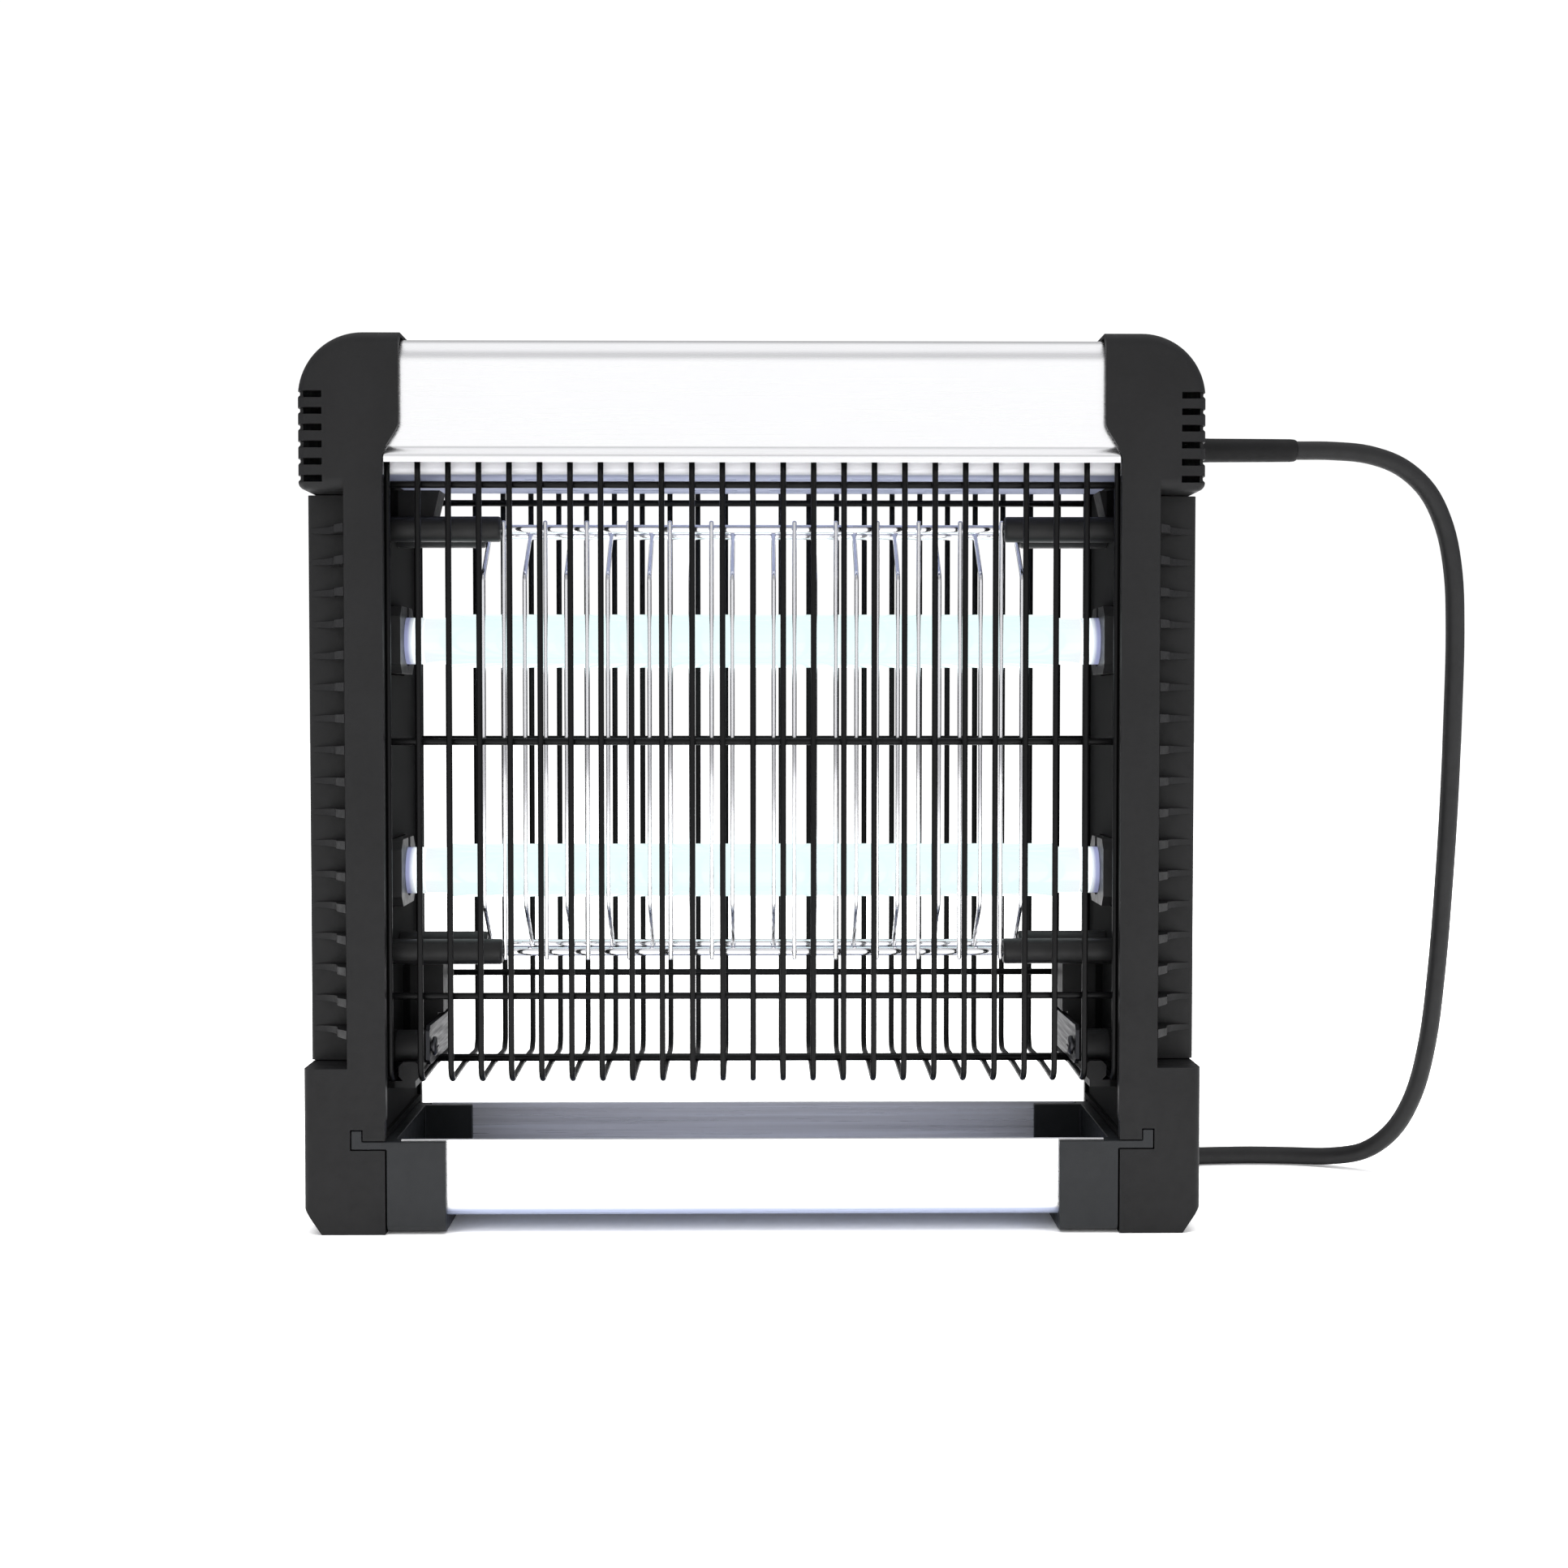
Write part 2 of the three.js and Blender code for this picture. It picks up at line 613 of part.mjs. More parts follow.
const BOARD_Z = 6;
const BOARD_T = 1.6;

function circuitBoard() {
  const parts = [box([-60, 60], [-22, 22], [BOARD_Z, BOARD_Z + BOARD_T])];
  [-54, 54].forEach((x) => {
    [-17, 17].forEach((y) => {
      parts.push(new THREE.CylinderGeometry(2.5, 2.5, 7, 10).rotateX(Math.PI / 2).translate(x, y, 3.5));
    });
  });
  return geometryOf(joined(parts));
}

// An E-core with its winding between the legs.
function transformer() {
  const winding = new THREE.CylinderGeometry(8, 8, 10, 16).rotateX(Math.PI / 2).translate(0, 0, 8);
  return geometryOf(joined([
    box([-12, 12], [-7, 7], [0, 3.4]),
    box([-12, 12], [-7, 7], [12.6, 16]),
    box([-12, -8.4], [-7, 7], [0, 16]),
    box([8.4, 12], [-7, 7], [0, 16]),
    winding,
  ]));
}

function ballast() {
  const outline = shapeOf([[-15, 0], [15, 0], [15, 20], [11, 24], [-11, 24], [-15, 20]]);
  return geometryOf(joined([extrudeX(outline, [-16, 16]), box([-19, 19], [-9, 9], [0, 1.5])]));
}

function terminalBlock() {
  const wells = [-8, 0, 8].map((x) => box([x - 2.4, x + 2.4], [-2.4, 2.4], [6, 14]));
  return geometryOf(cut(solid(box([-13, 13], [-6, 6], [0, 12])), wells));
}

const boardTop = BOARD_Z + BOARD_T + GAP;
mesh('circuit_board', circuitBoard(), 'board', electronics);
mesh('high_voltage_transformer', transformer(), 'ferrite', electronics).position.set(-38, 0, boardTop);
mesh('terminal_block', terminalBlock(), 'terminal', electronics).position.set(38, 0, boardTop);
mesh('ballast', ballast(), 'ballast', electronics).position.set(82, 0, 0);
[-12, 6].forEach((x, i) => {
  const can = new THREE.CylinderGeometry(5.5, 5.5, 19, 16).rotateX(Math.PI / 2).translate(0, 0, 9.5);
  mesh(`capacitor_${i + 1}`, can, 'capacitor', electronics).position.set(x, 0, boardTop);
});

// ---------------------------------------------------------------- lamps and lampholders

function lampGlass() {
  const inner = LAMP_R - 0.8;
  const end = LAMP_GLASS_HALF_L;
  return turned([[inner, -end], [LAMP_R, -end], [LAMP_R, end], [inner, end], [inner, -end]], 20);
}

function lampCap() {
  const start = LAMP_GLASS_HALF_L + GAP;
  const rim = [[LAMP_CAP_R, LAMP_HALF_L - 1.4], [LAMP_CAP_R - 1, LAMP_HALF_L], [0, LAMP_HALF_L]];
  const profile = [[0, start], [LAMP_CAP_R, start], ...rim];
  const pins = [-1, 1].map((side) => {
    return rod([LAMP_HALF_L - 1, LAMP_PIN_END], side * LAMP_PIN_OFFSET, 0, LAMP_PIN_R, 8);
  });
  return geometryOf(joined([turned(profile, 16), ...pins]));
}

function rotor() {
  const through = [ROTOR_X[0] - PAST, ROTOR_X[1] + PAST];
  const holes = [-1, 1].map((side) => rod(through, side * LAMP_PIN_OFFSET, 0, LAMP_PIN_R + 0.35, 8));
  return geometryOf(cut(solid(rod(ROTOR_X, 0, 0, ROTOR_R, 16)), holes));
}

// A block with its far corners chamfered, a recess for the lamp's end and a deeper one for the rotor.
function lampholder() {
  const [y0, y1] = HOLDER_Y;
  const h = HOLDER_HALF_H;
  const c = HOLDER_CHAMFER;
  const outline = shapeOf([
    [y0 + c, -h], [y1 - c, -h], [y1, -h + c], [y1, h - c],
    [y1 - c, h], [y0 + c, h], [y0, h - c], [y0, -h + c],
  ]);
  const start = HOLDER_X[0] - PAST;
  const recess = [
    rod([start, HOLDER_RECESS_X], 0, 0, LAMP_CAP_R + 0.6, 16),
    rod([start, ROTOR_RECESS_X], 0, 0, ROTOR_R + GAP, 16),
  ];
  return geometryOf(cut(solid(extrudeX(outline, HOLDER_X)), recess));
}

Object.entries(LAMP_Z).forEach(([level, z]) => {
  const lamp = new THREE.Group();
  lamp.position.z = z;
  model.add(lamp);
  mesh(`${level}_lamp_glass`, lampGlass(), 'lampGlass', lamp);
  mesh(`${level}_right_lamp_cap`, lampCap(), 'lampCap', lamp);
  mesh(`${level}_left_lamp_cap`, mirrored(lampCap()), 'lampCap', lamp);
  mesh(`${level}_right_rotor`, rotor(), 'lampCap', lamp);
  mesh(`${level}_left_rotor`, mirrored(rotor()), 'lampCap', lamp);
  mesh(`${level}_right_lampholder`, lampholder(), 'darkPlastic', lamp);
  mesh(`${level}_left_lampholder`, mirrored(lampholder()), 'darkPlastic', lamp);
});

// ---------------------------------------------------------------- high voltage grid

function evenly(count, pitch) {
  return Array.from({ length: count }, (_, i) => (i - (count - 1) / 2) * pitch);
}

function gridRods(place) {
  return place.z.map((z) => rod([-place.halfL, place.halfL], place.y, z, GRID_ROD_R, 6));
}

function frontGrid() {
  const half = GRID_WIRE / 2;
  const wires = evenly(FRONT_WIRES, GRID_PITCH).map((x) => {
    return box([x - half, x + half], [GRID_Y - half, GRID_Y + half], FRONT_WIRE_Z);
  });
  return geometryOf(joined([...gridRods(FRONT_ROD), ...wires]));
}

// These wires run in the front plane between the front wires, and bend back at both ends to the mid rods.
function bentGrid() {
  const [low, high] = BENT_WIRE_Z;
  const [lowEnd, highEnd] = BENT_WIRE_END_Z;
  const back = MID_ROD.y - 0.9;
  const line = strip([[back, lowEnd], [GRID_Y, low], [GRID_Y, high], [back, highEnd]], GRID_WIRE);
  const wires = evenly(BENT_WIRES, GRID_PITCH).map((x) => {
    return extrudeX(line, [x - GRID_WIRE / 2, x + GRID_WIRE / 2]);
  });
  return geometryOf(joined([...gridRods(MID_ROD), ...wires]));
}

// A post from the frame's wall, with a blind bore that holds a rod's end.
function insulator(endX) {
  const bore = GRID_ROD_R + GAP;
  const boreEnd = endX + INSULATOR_BORE;
  return turned([
    [0, boreEnd], [bore, boreEnd], [bore, endX], [INSULATOR_R - 0.5, endX],
    [INSULATOR_R, endX + 0.5], [INSULATOR_R, INSULATOR_ROOT_X], [0, INSULATOR_ROOT_X],
  ], 12);
}

mesh('front_grid_wires', frontGrid(), 'chrome');
mesh('bent_grid_wires', bentGrid(), 'chrome');
[['front', FRONT_ROD, FRONT_INSULATOR_X], ['mid', MID_ROD, MID_INSULATOR_X]].forEach(([row, place, endX]) => {
  ['lower', 'upper'].forEach((level, i) => {
    const geometry = insulator(endX);
    const name = `${row}_insulator_${level}`;
    mesh(`${name}_right`, geometry, 'darkPlastic').position.set(0, place.y, place.z[i]);
    mesh(`${name}_left`, mirrored(geometry), 'darkPlastic').position.set(0, place.y, place.z[i]);
  });
});

// ---------------------------------------------------------------- guards

// L-shaped wires, welded to three bars behind them and to one along their lower ends.
function guard(side) {
  const profile = [
    [GUARD_Y, GUARD_TOP],
    ...arc(GUARD_Y - GUARD_BEND, GUARD_FLOOR + GUARD_BEND, GUARD_BEND, 0, -90, 2),
    [GUARD_END_Y, GUARD_END_Z],
  ];
  const line = strip(profile.map(([y, z]) => [side * y, z]), GUARD_WIRE);
  const wires = evenly(GUARD_WIRES, GUARD_PITCH).map((x) => {
    return extrudeX(line, [x - GUARD_WIRE / 2, x + GUARD_WIRE / 2]);
  });
  const { y, z, halfL, thickness } = GUARD_END_BAR;
  const bars = GUARD_BAR_Z.map((height) => bar(GUARD_BAR_HALF_L, side * GUARD_BAR_Y, height, GUARD_BAR));
  bars.push(bar(halfL, side * y, z, thickness));
  return geometryOf(joined([...bars, ...wires]));
}

mesh('front_guard', guard(-1), 'guardWire');
mesh('rear_guard', guard(1), 'guardWire');

// A flat steel strip on edge, screwed to the boss at its front end.
function guardPlate() {
  const outline = shapeOf([[-22, 48.4], [-19.5, 46.8], [26.5, 46.2], [26.5, 57.4], [-20.5, 58.4], [-22, 57]]);
  const hole = rod([94, 97], BOSS.y, BOSS.z, SCREW_HOLE_R, 12);
  return geometryOf(cut(solid(extrudeX(outline, PLATE_X)), [hole]));
}

mesh('right_guard_plate', guardPlate(), 'steel');
mesh('left_guard_plate', mirrored(guardPlate()), 'steel');

// Its screw goes outwards into the boss, so its head faces the middle.
const plateScrew = mirrored(screw(-103, [-94.6, -93], 2.8));
mesh('right_plate_screw', plateScrew, 'steel').position.set(0, BOSS.y, BOSS.z);
mesh('left_plate_screw', mirrored(plateScrew), 'steel').position.set(0, BOSS.y, BOSS.z);

// ---------------------------------------------------------------- catch tray

function trayLine() {
  const [y0, y1] = [TRAY_Y[0] + TRAY_T / 2, TRAY_Y[1] - TRAY_T / 2];
  const floor = TRAY_Z[0] + TRAY_T / 2;
  return [
    [y0, TRAY_Z[1]],
    ...arc(y0 + TRAY_BEND, floor + TRAY_BEND, TRAY_BEND, 180, 270, 3),
    ...arc(y1 - TRAY_BEND, floor + TRAY_BEND, TRAY_BEND, 270, 360, 3),
    [y1, TRAY_Z[1]],
  ];
}

function trayChannel() {
  return extrudeX(strip(trayLine(), TRAY_T), [-TRAY_HALF_L, TRAY_HALF_L]);
}

// A moulded sleeve round the channel's end, with the rail that hangs the tray in the foot's slot.
function trayCap() {
  const { x, z, hookX, hookZ } = TRAY_RAIL;
  const block = joined([
    box(TRAY_CAP_X, TRAY_CAP_Y, TRAY_CAP_Z),
    box(x, TRAY_CAP_Y, z),
    box([hookX, x[1]], TRAY_CAP_Y, [z[0], hookZ]),
  ]);
  const line = trayLine();
  line[0] = [line[0][0], 30];
  line[line.length - 1] = [line[line.length - 1][0], 30];
  return geometryOf(cut(block, [
    extrudeX(strip(line, TRAY_T + 2 * GAP), [80, TRAY_HALF_L + GAP]),
    box([80, TRAY_CAP_X[1] - 2.3], [TRAY_Y[0] + 3.6, TRAY_Y[1] - 3.6], [8.4, 30]),
  ]));
}

mesh('tray_channel', trayChannel(), 'dullAluminium');
mesh('tray_right_cap', trayCap(), 'blackPlastic');
mesh('tray_left_cap', mirrored(trayCap()), 'blackPlastic');

// ---------------------------------------------------------------- power cord

// Held by a flange inside the cap, it flares on the outside and runs on as a slim sleeve.
function strainRelief() {
  return turned([
    [0, 125.8], [5.8, 125.8], [5.8, 127.8], [3.7, 127.8], [3.7, HALF_W + GAP], [5.4, HALF_W + GAP],
    [4.9, 131.4], [4.1, 133], [3.6, 135.2], [3.4, 162.8], [2.9, GLAND_END_X], [0, GLAND_END_X],
  ], 14);
}

function tube(points, radius, sides, steps) {
  const section = shapeOf(arc(0, 0, radius, 0, 360, sides).slice(0, sides));
  const line = points.map((point) => new THREE.Vector3(...point));
  const path = new THREE.CatmullRomCurve3(line, false, 'centripetal');
  return new THREE.ExtrudeGeometry(section, { steps, extrudePath: path, bevelEnabled: false });
}

// The outer shape of the folded cord: a long loop with round ends, and the two leads beside them.
function hankSolid() {
  const { x, y, halfRun, outerR, leadX } = HANK;
  const innerY = HANK_LEAD_Y + CORD_R;
  const start = THREE.MathUtils.radToDeg(Math.asin((innerY - y) / outerR));
  const outline = shapeOf([
    [x - leadX, y - outerR],
    [x + leadX, y - outerR],
    [x + leadX, innerY],
    ...arc(x + halfRun, y, outerR, start, 90, 8),
    ...arc(x - halfRun, y, outerR, 90, 180 - start, 8),
    [x - leadX, innerY],
  ]);
  const groove = box([x - TIE.halfW - GAP, x + TIE.halfW + GAP], [40, 110], [-1, TIE.t + GAP]);
  return geometryOf(cut(solid(extrudeZ(outline, [0, HANK.height])), [groove]));
}

function hankTie() {
  const { x, y, outerR, height } = HANK;
  const width = [x - TIE.halfW, x + TIE.halfW];
  const inner = outerR + GAP;
  const outer = inner + TIE.t;
  const band = box(width, [y - outer, y + outer], [0, height + GAP + TIE.t]);
  const hollow = box([width[0] - 1, width[1] + 1], [y - inner, y + inner], [TIE.t, height + GAP]);
  return geometryOf(cut(solid(band), [hollow]));
}

// The same outline, drawn in towards its middle.
function shrunk(shape, share) {
  const points = shape.getPoints();
  const sum = points.reduce((total, point) => total.add(point), new THREE.Vector2());
  const middle = sum.divideScalar(points.length);
  return new THREE.Shape(points.map((point) => middle.clone().lerp(point, share)));
}

// A flat two-pin plug: a tapered tail, and a body with rounded edges that narrows towards the tail.
function plugBody() {
  const [front, back] = PLUG_BODY_X;
  const tail = turned([[0, 0], [3.5, 0], [5.6, 20], [0, 20]], 14).rotateZ(Math.PI);
  tail.translate(PLUG_TAIL_X, HANK_LEAD_Y, PLUG_Z);
  const side = [[back + 2, 6], [back - 4, 9.5], [back - 12, 12.5], [front + 1.5, 13], [front, 11.5]];
  const near = side.map(([x, y]) => [x, HANK_LEAD_Y - y]);
  const far = side.map(([x, y]) => [x, HANK_LEAD_Y + y]).reverse();
  const outline = shapeOf([...near, ...far]);
  const wide = extrudeZ(outline, [1.4, 2 * PLUG_Z - 1.4]);
  const tall = extrudeZ(shrunk(outline, 0.92), [0, 2 * PLUG_Z]);
  return geometryOf(joined([tail, wide, tall]));
}

mesh('strain_relief', strainRelief(), 'cordRubber').position.set(0, 0, CORD_Z);
mesh('power_cord', tube(CORD_ROUTE, CORD_R, 8, CORD_STEPS), 'cordRubber');
mesh('cord_hank', hankSolid(), 'cordRubber');
mesh('hank_tie', hankTie(), 'darkPlastic');

const cordEnd = [
  [HANK.x - HANK.leadX - GAP, HANK_LEAD_Y, 8.5],
  [-50, HANK_LEAD_Y, 8.4],
  [PLUG_TAIL_X + GAP, HANK_LEAD_Y, PLUG_Z],
];
mesh('power_cord_end', tube(cordEnd, CORD_R, 8, 3), 'cordRubber');
mesh('plug_body', plugBody(), 'cordRubber');
[-6.35, 6.35].forEach((offset, i) => {
  const blade = box([PLUG_BODY_X[0] - GAP - 17, PLUG_BODY_X[0] - GAP], [-0.75, 0.75], [-3.2, 3.2]);
  mesh(`plug_blade_${i + 1}`, blade, 'blade').position.set(0, HANK_LEAD_Y + offset, PLUG_Z);
});

export default model;
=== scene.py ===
import json
import math

import bmesh
import bpy
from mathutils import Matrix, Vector

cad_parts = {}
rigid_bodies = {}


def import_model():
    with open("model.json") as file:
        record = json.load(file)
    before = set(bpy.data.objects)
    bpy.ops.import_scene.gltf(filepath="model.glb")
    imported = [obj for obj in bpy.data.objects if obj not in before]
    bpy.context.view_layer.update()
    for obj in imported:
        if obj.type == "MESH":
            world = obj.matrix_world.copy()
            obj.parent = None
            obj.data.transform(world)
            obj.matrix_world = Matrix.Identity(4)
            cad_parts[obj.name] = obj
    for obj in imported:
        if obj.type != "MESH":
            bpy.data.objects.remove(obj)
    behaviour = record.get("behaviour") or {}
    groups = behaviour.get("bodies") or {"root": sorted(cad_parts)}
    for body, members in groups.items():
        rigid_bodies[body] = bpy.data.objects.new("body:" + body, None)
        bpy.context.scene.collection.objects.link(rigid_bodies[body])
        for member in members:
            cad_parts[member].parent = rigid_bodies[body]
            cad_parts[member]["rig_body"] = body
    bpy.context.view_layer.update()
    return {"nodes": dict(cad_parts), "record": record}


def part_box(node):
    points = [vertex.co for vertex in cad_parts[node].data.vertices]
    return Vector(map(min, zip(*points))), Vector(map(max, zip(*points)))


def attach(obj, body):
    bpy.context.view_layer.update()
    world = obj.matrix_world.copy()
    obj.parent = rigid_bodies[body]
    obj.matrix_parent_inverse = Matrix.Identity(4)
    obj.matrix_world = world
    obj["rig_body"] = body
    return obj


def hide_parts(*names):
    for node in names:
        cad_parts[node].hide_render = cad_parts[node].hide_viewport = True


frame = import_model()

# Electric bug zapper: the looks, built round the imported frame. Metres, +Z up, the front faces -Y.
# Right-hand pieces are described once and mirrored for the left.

mm = 0.001

# ---------------------------------------------------------------- dimensions, from the frame where it can

FRAME_LOW, FRAME_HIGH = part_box("right_end_frame")
HALF_W, HALF_D, HEIGHT = FRAME_HIGH.x, FRAME_HIGH.y, FRAME_HIGH.z
PANEL_LOW, PANEL_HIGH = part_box("right_louvre_panel")
HOOD_LOW, HOOD_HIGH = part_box("hood")
BASE_LOW, BASE_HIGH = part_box("hood_base_plate")
TRAY_LOW, TRAY_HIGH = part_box("tray_channel")
CAP_LOW, CAP_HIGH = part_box("tray_right_cap")
CAP_BOTTOM = PANEL_HIGH.z + 0.3 * mm
FOOT_TOP = PANEL_LOW.z - 0.3 * mm
FLANGE_X = PANEL_LOW.x - 0.3 * mm

GAP = 0.3 * mm
PAST = 1 * mm
CAP_CORNER = 18.5 * mm
CAP_FILLET = 3.5 * mm
CAP_LOW_CORNER = 2.2 * mm
CAP_WALL = 1.7 * mm
CAP_TOP_WALL = 1.0 * mm
CAP_INNER_X = 100.8 * mm
FRAME_INNER_X = 105.6 * mm
WALL_X = 107 * mm
WALL = 2.2 * mm
LIP_Y = 32 * mm
FOOT_INNER_X, FOOT_OUTER_X = 105.9 * mm, 129.3 * mm
FOOT_WALL = 2.5 * mm
FOOT_CHAMFER = (5.1 * mm, 7.6 * mm)
FOOT_CORNER = 2.4 * mm
CHANNEL_Z = (33 * mm, 211.5 * mm)
S_CURVE_Z = (233.5 * mm, 230.2 * mm, 227 * mm, 222 * mm)
SCREW_Z = (60 * mm, 203 * mm)
SCREW_HOLE_R = 1.8 * mm
BOSS_X, BOSS_Y, BOSS_Z, BOSS_R = 96.4 * mm, -18 * mm, 52 * mm, 4.8 * mm
CORD_Z = 229.4 * mm
SLOT_Z = [z * mm for z in (217.1, 221.9, 226.8, 231.6, 236.3, 241)]
RAIL_X, RAIL_LOW_Z, RAIL_TOP_Z = 104 * mm, 24.7 * mm, CAP_HIGH.z - 3.2 * mm
HOOK_X = 112.6 * mm
PIN_Y = 2.375 * mm
TOP_BLOCK_Y, TOP_BLOCK_Z = (-12 * mm, 0), (208.3 * mm, 216 * mm)
TOP_BLOCK_SHORT_X, TOP_BLOCK_SLANT = 102.7 * mm, 1.8 * mm
LOW_BLOCK_Y = (5 * mm, 27 * mm)
REST_X, REST_Y, REST_Z = (97.5 * mm, 103.7 * mm), (4 * mm, 24 * mm), (42.6 * mm, 48.2 * mm)
REST_CORNER, REST_STEM_Z = 1.3 * mm, 40.6 * mm
POST_END_X, POST_R = 124.7 * mm, 4 * mm
PASSAGE_X, PASSAGE_Z = 118 * mm, (216 * mm, 220 * mm)


# ---------------------------------------------------------------- mesh helpers

def new_piece(name, mesh_or_bm):
    """An object in the scene from a mesh or a bmesh."""
    mesh = mesh_or_bm
    if isinstance(mesh_or_bm, bmesh.types.BMesh):
        mesh = bpy.data.meshes.new(name)
        mesh_or_bm.to_mesh(mesh)
        mesh_or_bm.free()
    piece = bpy.data.objects.new(name, mesh)
    bpy.context.scene.collection.objects.link(piece)
    return piece


def loft(rings, closed_ends=True):
    """A skin over rings of the same number of points, with its two ends closed."""
    bm = bmesh.new()
    made = [[bm.verts.new(point) for point in ring] for ring in rings]
    count = len(made[0])
    for near, far in zip(made, made[1:]):
        for i in range(count):
            j = (i + 1) % count
            bm.faces.new((near[i], near[j], far[j], far[i]))
    if closed_ends:
        bm.faces.new(list(reversed(made[0])))
        bm.faces.new(made[-1])
    bmesh.ops.recalc_face_normals(bm, faces=bm.faces)
    return bm


def prism(outline, axis, low, high):
    """An outline in the two other axes, extruded along one axis."""
    place = {
        "x": lambda a, b, c: (c, a, b),
        "y": lambda a, b, c: (a, c, b),
        "z": lambda a, b, c: (a, b, c),
    }[axis]
    return loft([[place(a, b, end) for a, b in outline] for end in (low, high)])


def about(middle, half):
    return (middle - half, middle + half)


def block(x, y, z):
    """A box from three (low, high) pairs."""
    return prism([(x[0], y[0]), (x[1], y[0]), (x[1], y[1]), (x[0], y[1])], "z", *z)


def turned(profile, sides=32, y=0, z=0):
    """A closed solid turned about a line along X, from (radius, x) points that start and end on the line."""
    rings = []
    for radius, x in profile[1:-1]:
        angles = [2 * math.pi * i / sides for i in range(sides)]
        rings.append([(x, y + radius * math.cos(a), z + radius * math.sin(a)) for a in angles])
    return loft(rings)


def rod(x, y, z, radius, sides=24):
    return turned([(0, x[0]), (radius, x[0]), (radius, x[1]), (0, x[1])], sides, y, z)


def arc(a, b, radius, start, end, steps):
    """Points of an arc about (a, b), from one angle to another in degrees."""
    angles = [math.radians(start + (end - start) * i / steps) for i in range(steps + 1)]
    return [(a + radius * math.cos(t), b + radius * math.sin(t)) for t in angles]


def eight_sided(a, b, corner):
    """The outline of a rectangle, from two (low, high) pairs, with its corners cut off."""
    (a0, a1), (b0, b1), c = a, b, corner
    return [
        (a0 + c, b0), (a1 - c, b0), (a1, b0 + c), (a1, b1 - c),
        (a1 - c, b1), (a0 + c, b1), (a0, b1 - c), (a0, b0 + c),
    ]


def strip(line, thickness):
    """The outline of a sheet bent along a line."""
    points = [Vector(p) for p in line]
    sides = ([], [])
    for i, point in enumerate(points):
        into = (point - points[i - 1]).normalized() if i else (points[1] - point).normalized()
        out = (points[i + 1] - point).normalized() if i < len(points) - 1 else into
        along = (into + out).normalized()
        reach = thickness / 2 / along.dot(into)
        across = Vector((-along.y, along.x)) * reach
        sides[0].append(tuple(point + across))
        sides[1].insert(0, tuple(point - across))
    return sides[0] + sides[1]


def mirrored(bm):
    """The left-hand copy of a right-hand shape."""
    copy = bm.copy()
    bmesh.ops.scale(copy, vec=(-1, 1, 1), verts=copy.verts)
    bmesh.ops.reverse_faces(copy, faces=copy.faces)
    return copy


def pair(right):
    """A right-hand shape with its mirror image, each with its side's name."""
    return (("left", mirrored(right)), ("right", right))


def merged(*parts):
    """Several closed shapes as one bmesh, left as they are where they meet."""
    whole = bmesh.new()
    for part in parts:
        mesh = bpy.data.meshes.new("part")
        part.to_mesh(mesh)
        part.free()
        whole.from_mesh(mesh)
        bpy.data.meshes.remove(mesh)
    return whole


def combined(base, steps):
    """base with each step's tools joined to it or cut from it, in order, as one bmesh."""
    body = new_piece("base", base)
    tools = []
    for operation, shapes in steps:
        for shape in shapes:
            tools.append(new_piece("tool", shape))
            modifier = body.modifiers.new("step", "BOOLEAN")
            modifier.solver = "MANIFOLD"
            modifier.operation = operation
            modifier.object = tools[-1]
    result = bmesh.new()
    result.from_mesh(body.evaluated_get(bpy.context.evaluated_depsgraph_get()).to_mesh())
    for used in (body, *tools):
        mesh = used.data
        bpy.data.objects.remove(used)
        bpy.data.meshes.remove(mesh)
    tidy(result)
    return result


def tidy(bm):
    """Joins the flat faces that the cuts have split, so that edges can be rounded."""
    bmesh.ops.remove_doubles(bm, verts=bm.verts, dist=0.002 * mm)
    bmesh.ops.dissolve_degenerate(bm, edges=bm.edges, dist=0.002 * mm)
    bmesh.ops.dissolve_limit(bm, angle_limit=math.radians(0.8), verts=bm.verts, edges=bm.edges)


def rounded(piece, width, segments=2, angle=32):
    """Small radii along a piece's sharp edges, with even shading over its flats."""
    for polygon in piece.data.polygons:
        polygon.use_smooth = True
    bevel = piece.modifiers.new("edges", "BEVEL")
    bevel.width = width
    bevel.segments = segments
    bevel.limit_method = "ANGLE"
    bevel.angle_limit = math.radians(angle)
    bevel.harden_normals = True
    bevel.use_clamp_overlap = True
    bevel.miter_outer = "MITER_ARC"
    return piece


def smooth(piece, angle=40):
    piece.data.shade_smooth()
    piece.data.set_sharp_from_angle(angle=math.radians(angle))
    return piece


def tube(points, radius, sides=12, end_round=0.0):
    """A round wire along a line, its ends closed and, if asked, rounded over."""
    line = [Vector(p) for p in points]
    radii = [radius] * len(line)
    if end_round:
        start, end = (line[1] - line[0]).normalized(), (line[-1] - line[-2]).normalized()
        head = [line[0] + start * end_round * f for f in (0, 0.3)]
        tail = [line[-1] - end * end_round * f for f in (0.3, 0)]
        line = head + [line[0] + start * end_round] + line[1:-1] + [line[-1] - end * end_round] + tail
        radii = [radius * 0.45, radius * 0.8] + [radius] * (len(line) - 4) + [radius * 0.8, radius * 0.45]
    heading = (line[1] - line[0]).normalized()
    across = heading.orthogonal().normalized()
    rings = []
    for i, point in enumerate(line):
        before = line[max(i - 1, 0)]
        after = line[min(i + 1, len(line) - 1)]
        turn = (after - before).normalized()
        across = heading.rotation_difference(turn) @ across
        heading = turn
        side = heading.cross(across).normalized()
        across = side.cross(heading).normalized()
        angles = [2 * math.pi * k / sides for k in range(sides)]
        rings.append([point + (across * math.cos(t) + side * math.sin(t)) * radii[i] for t in angles])
    return loft(rings)


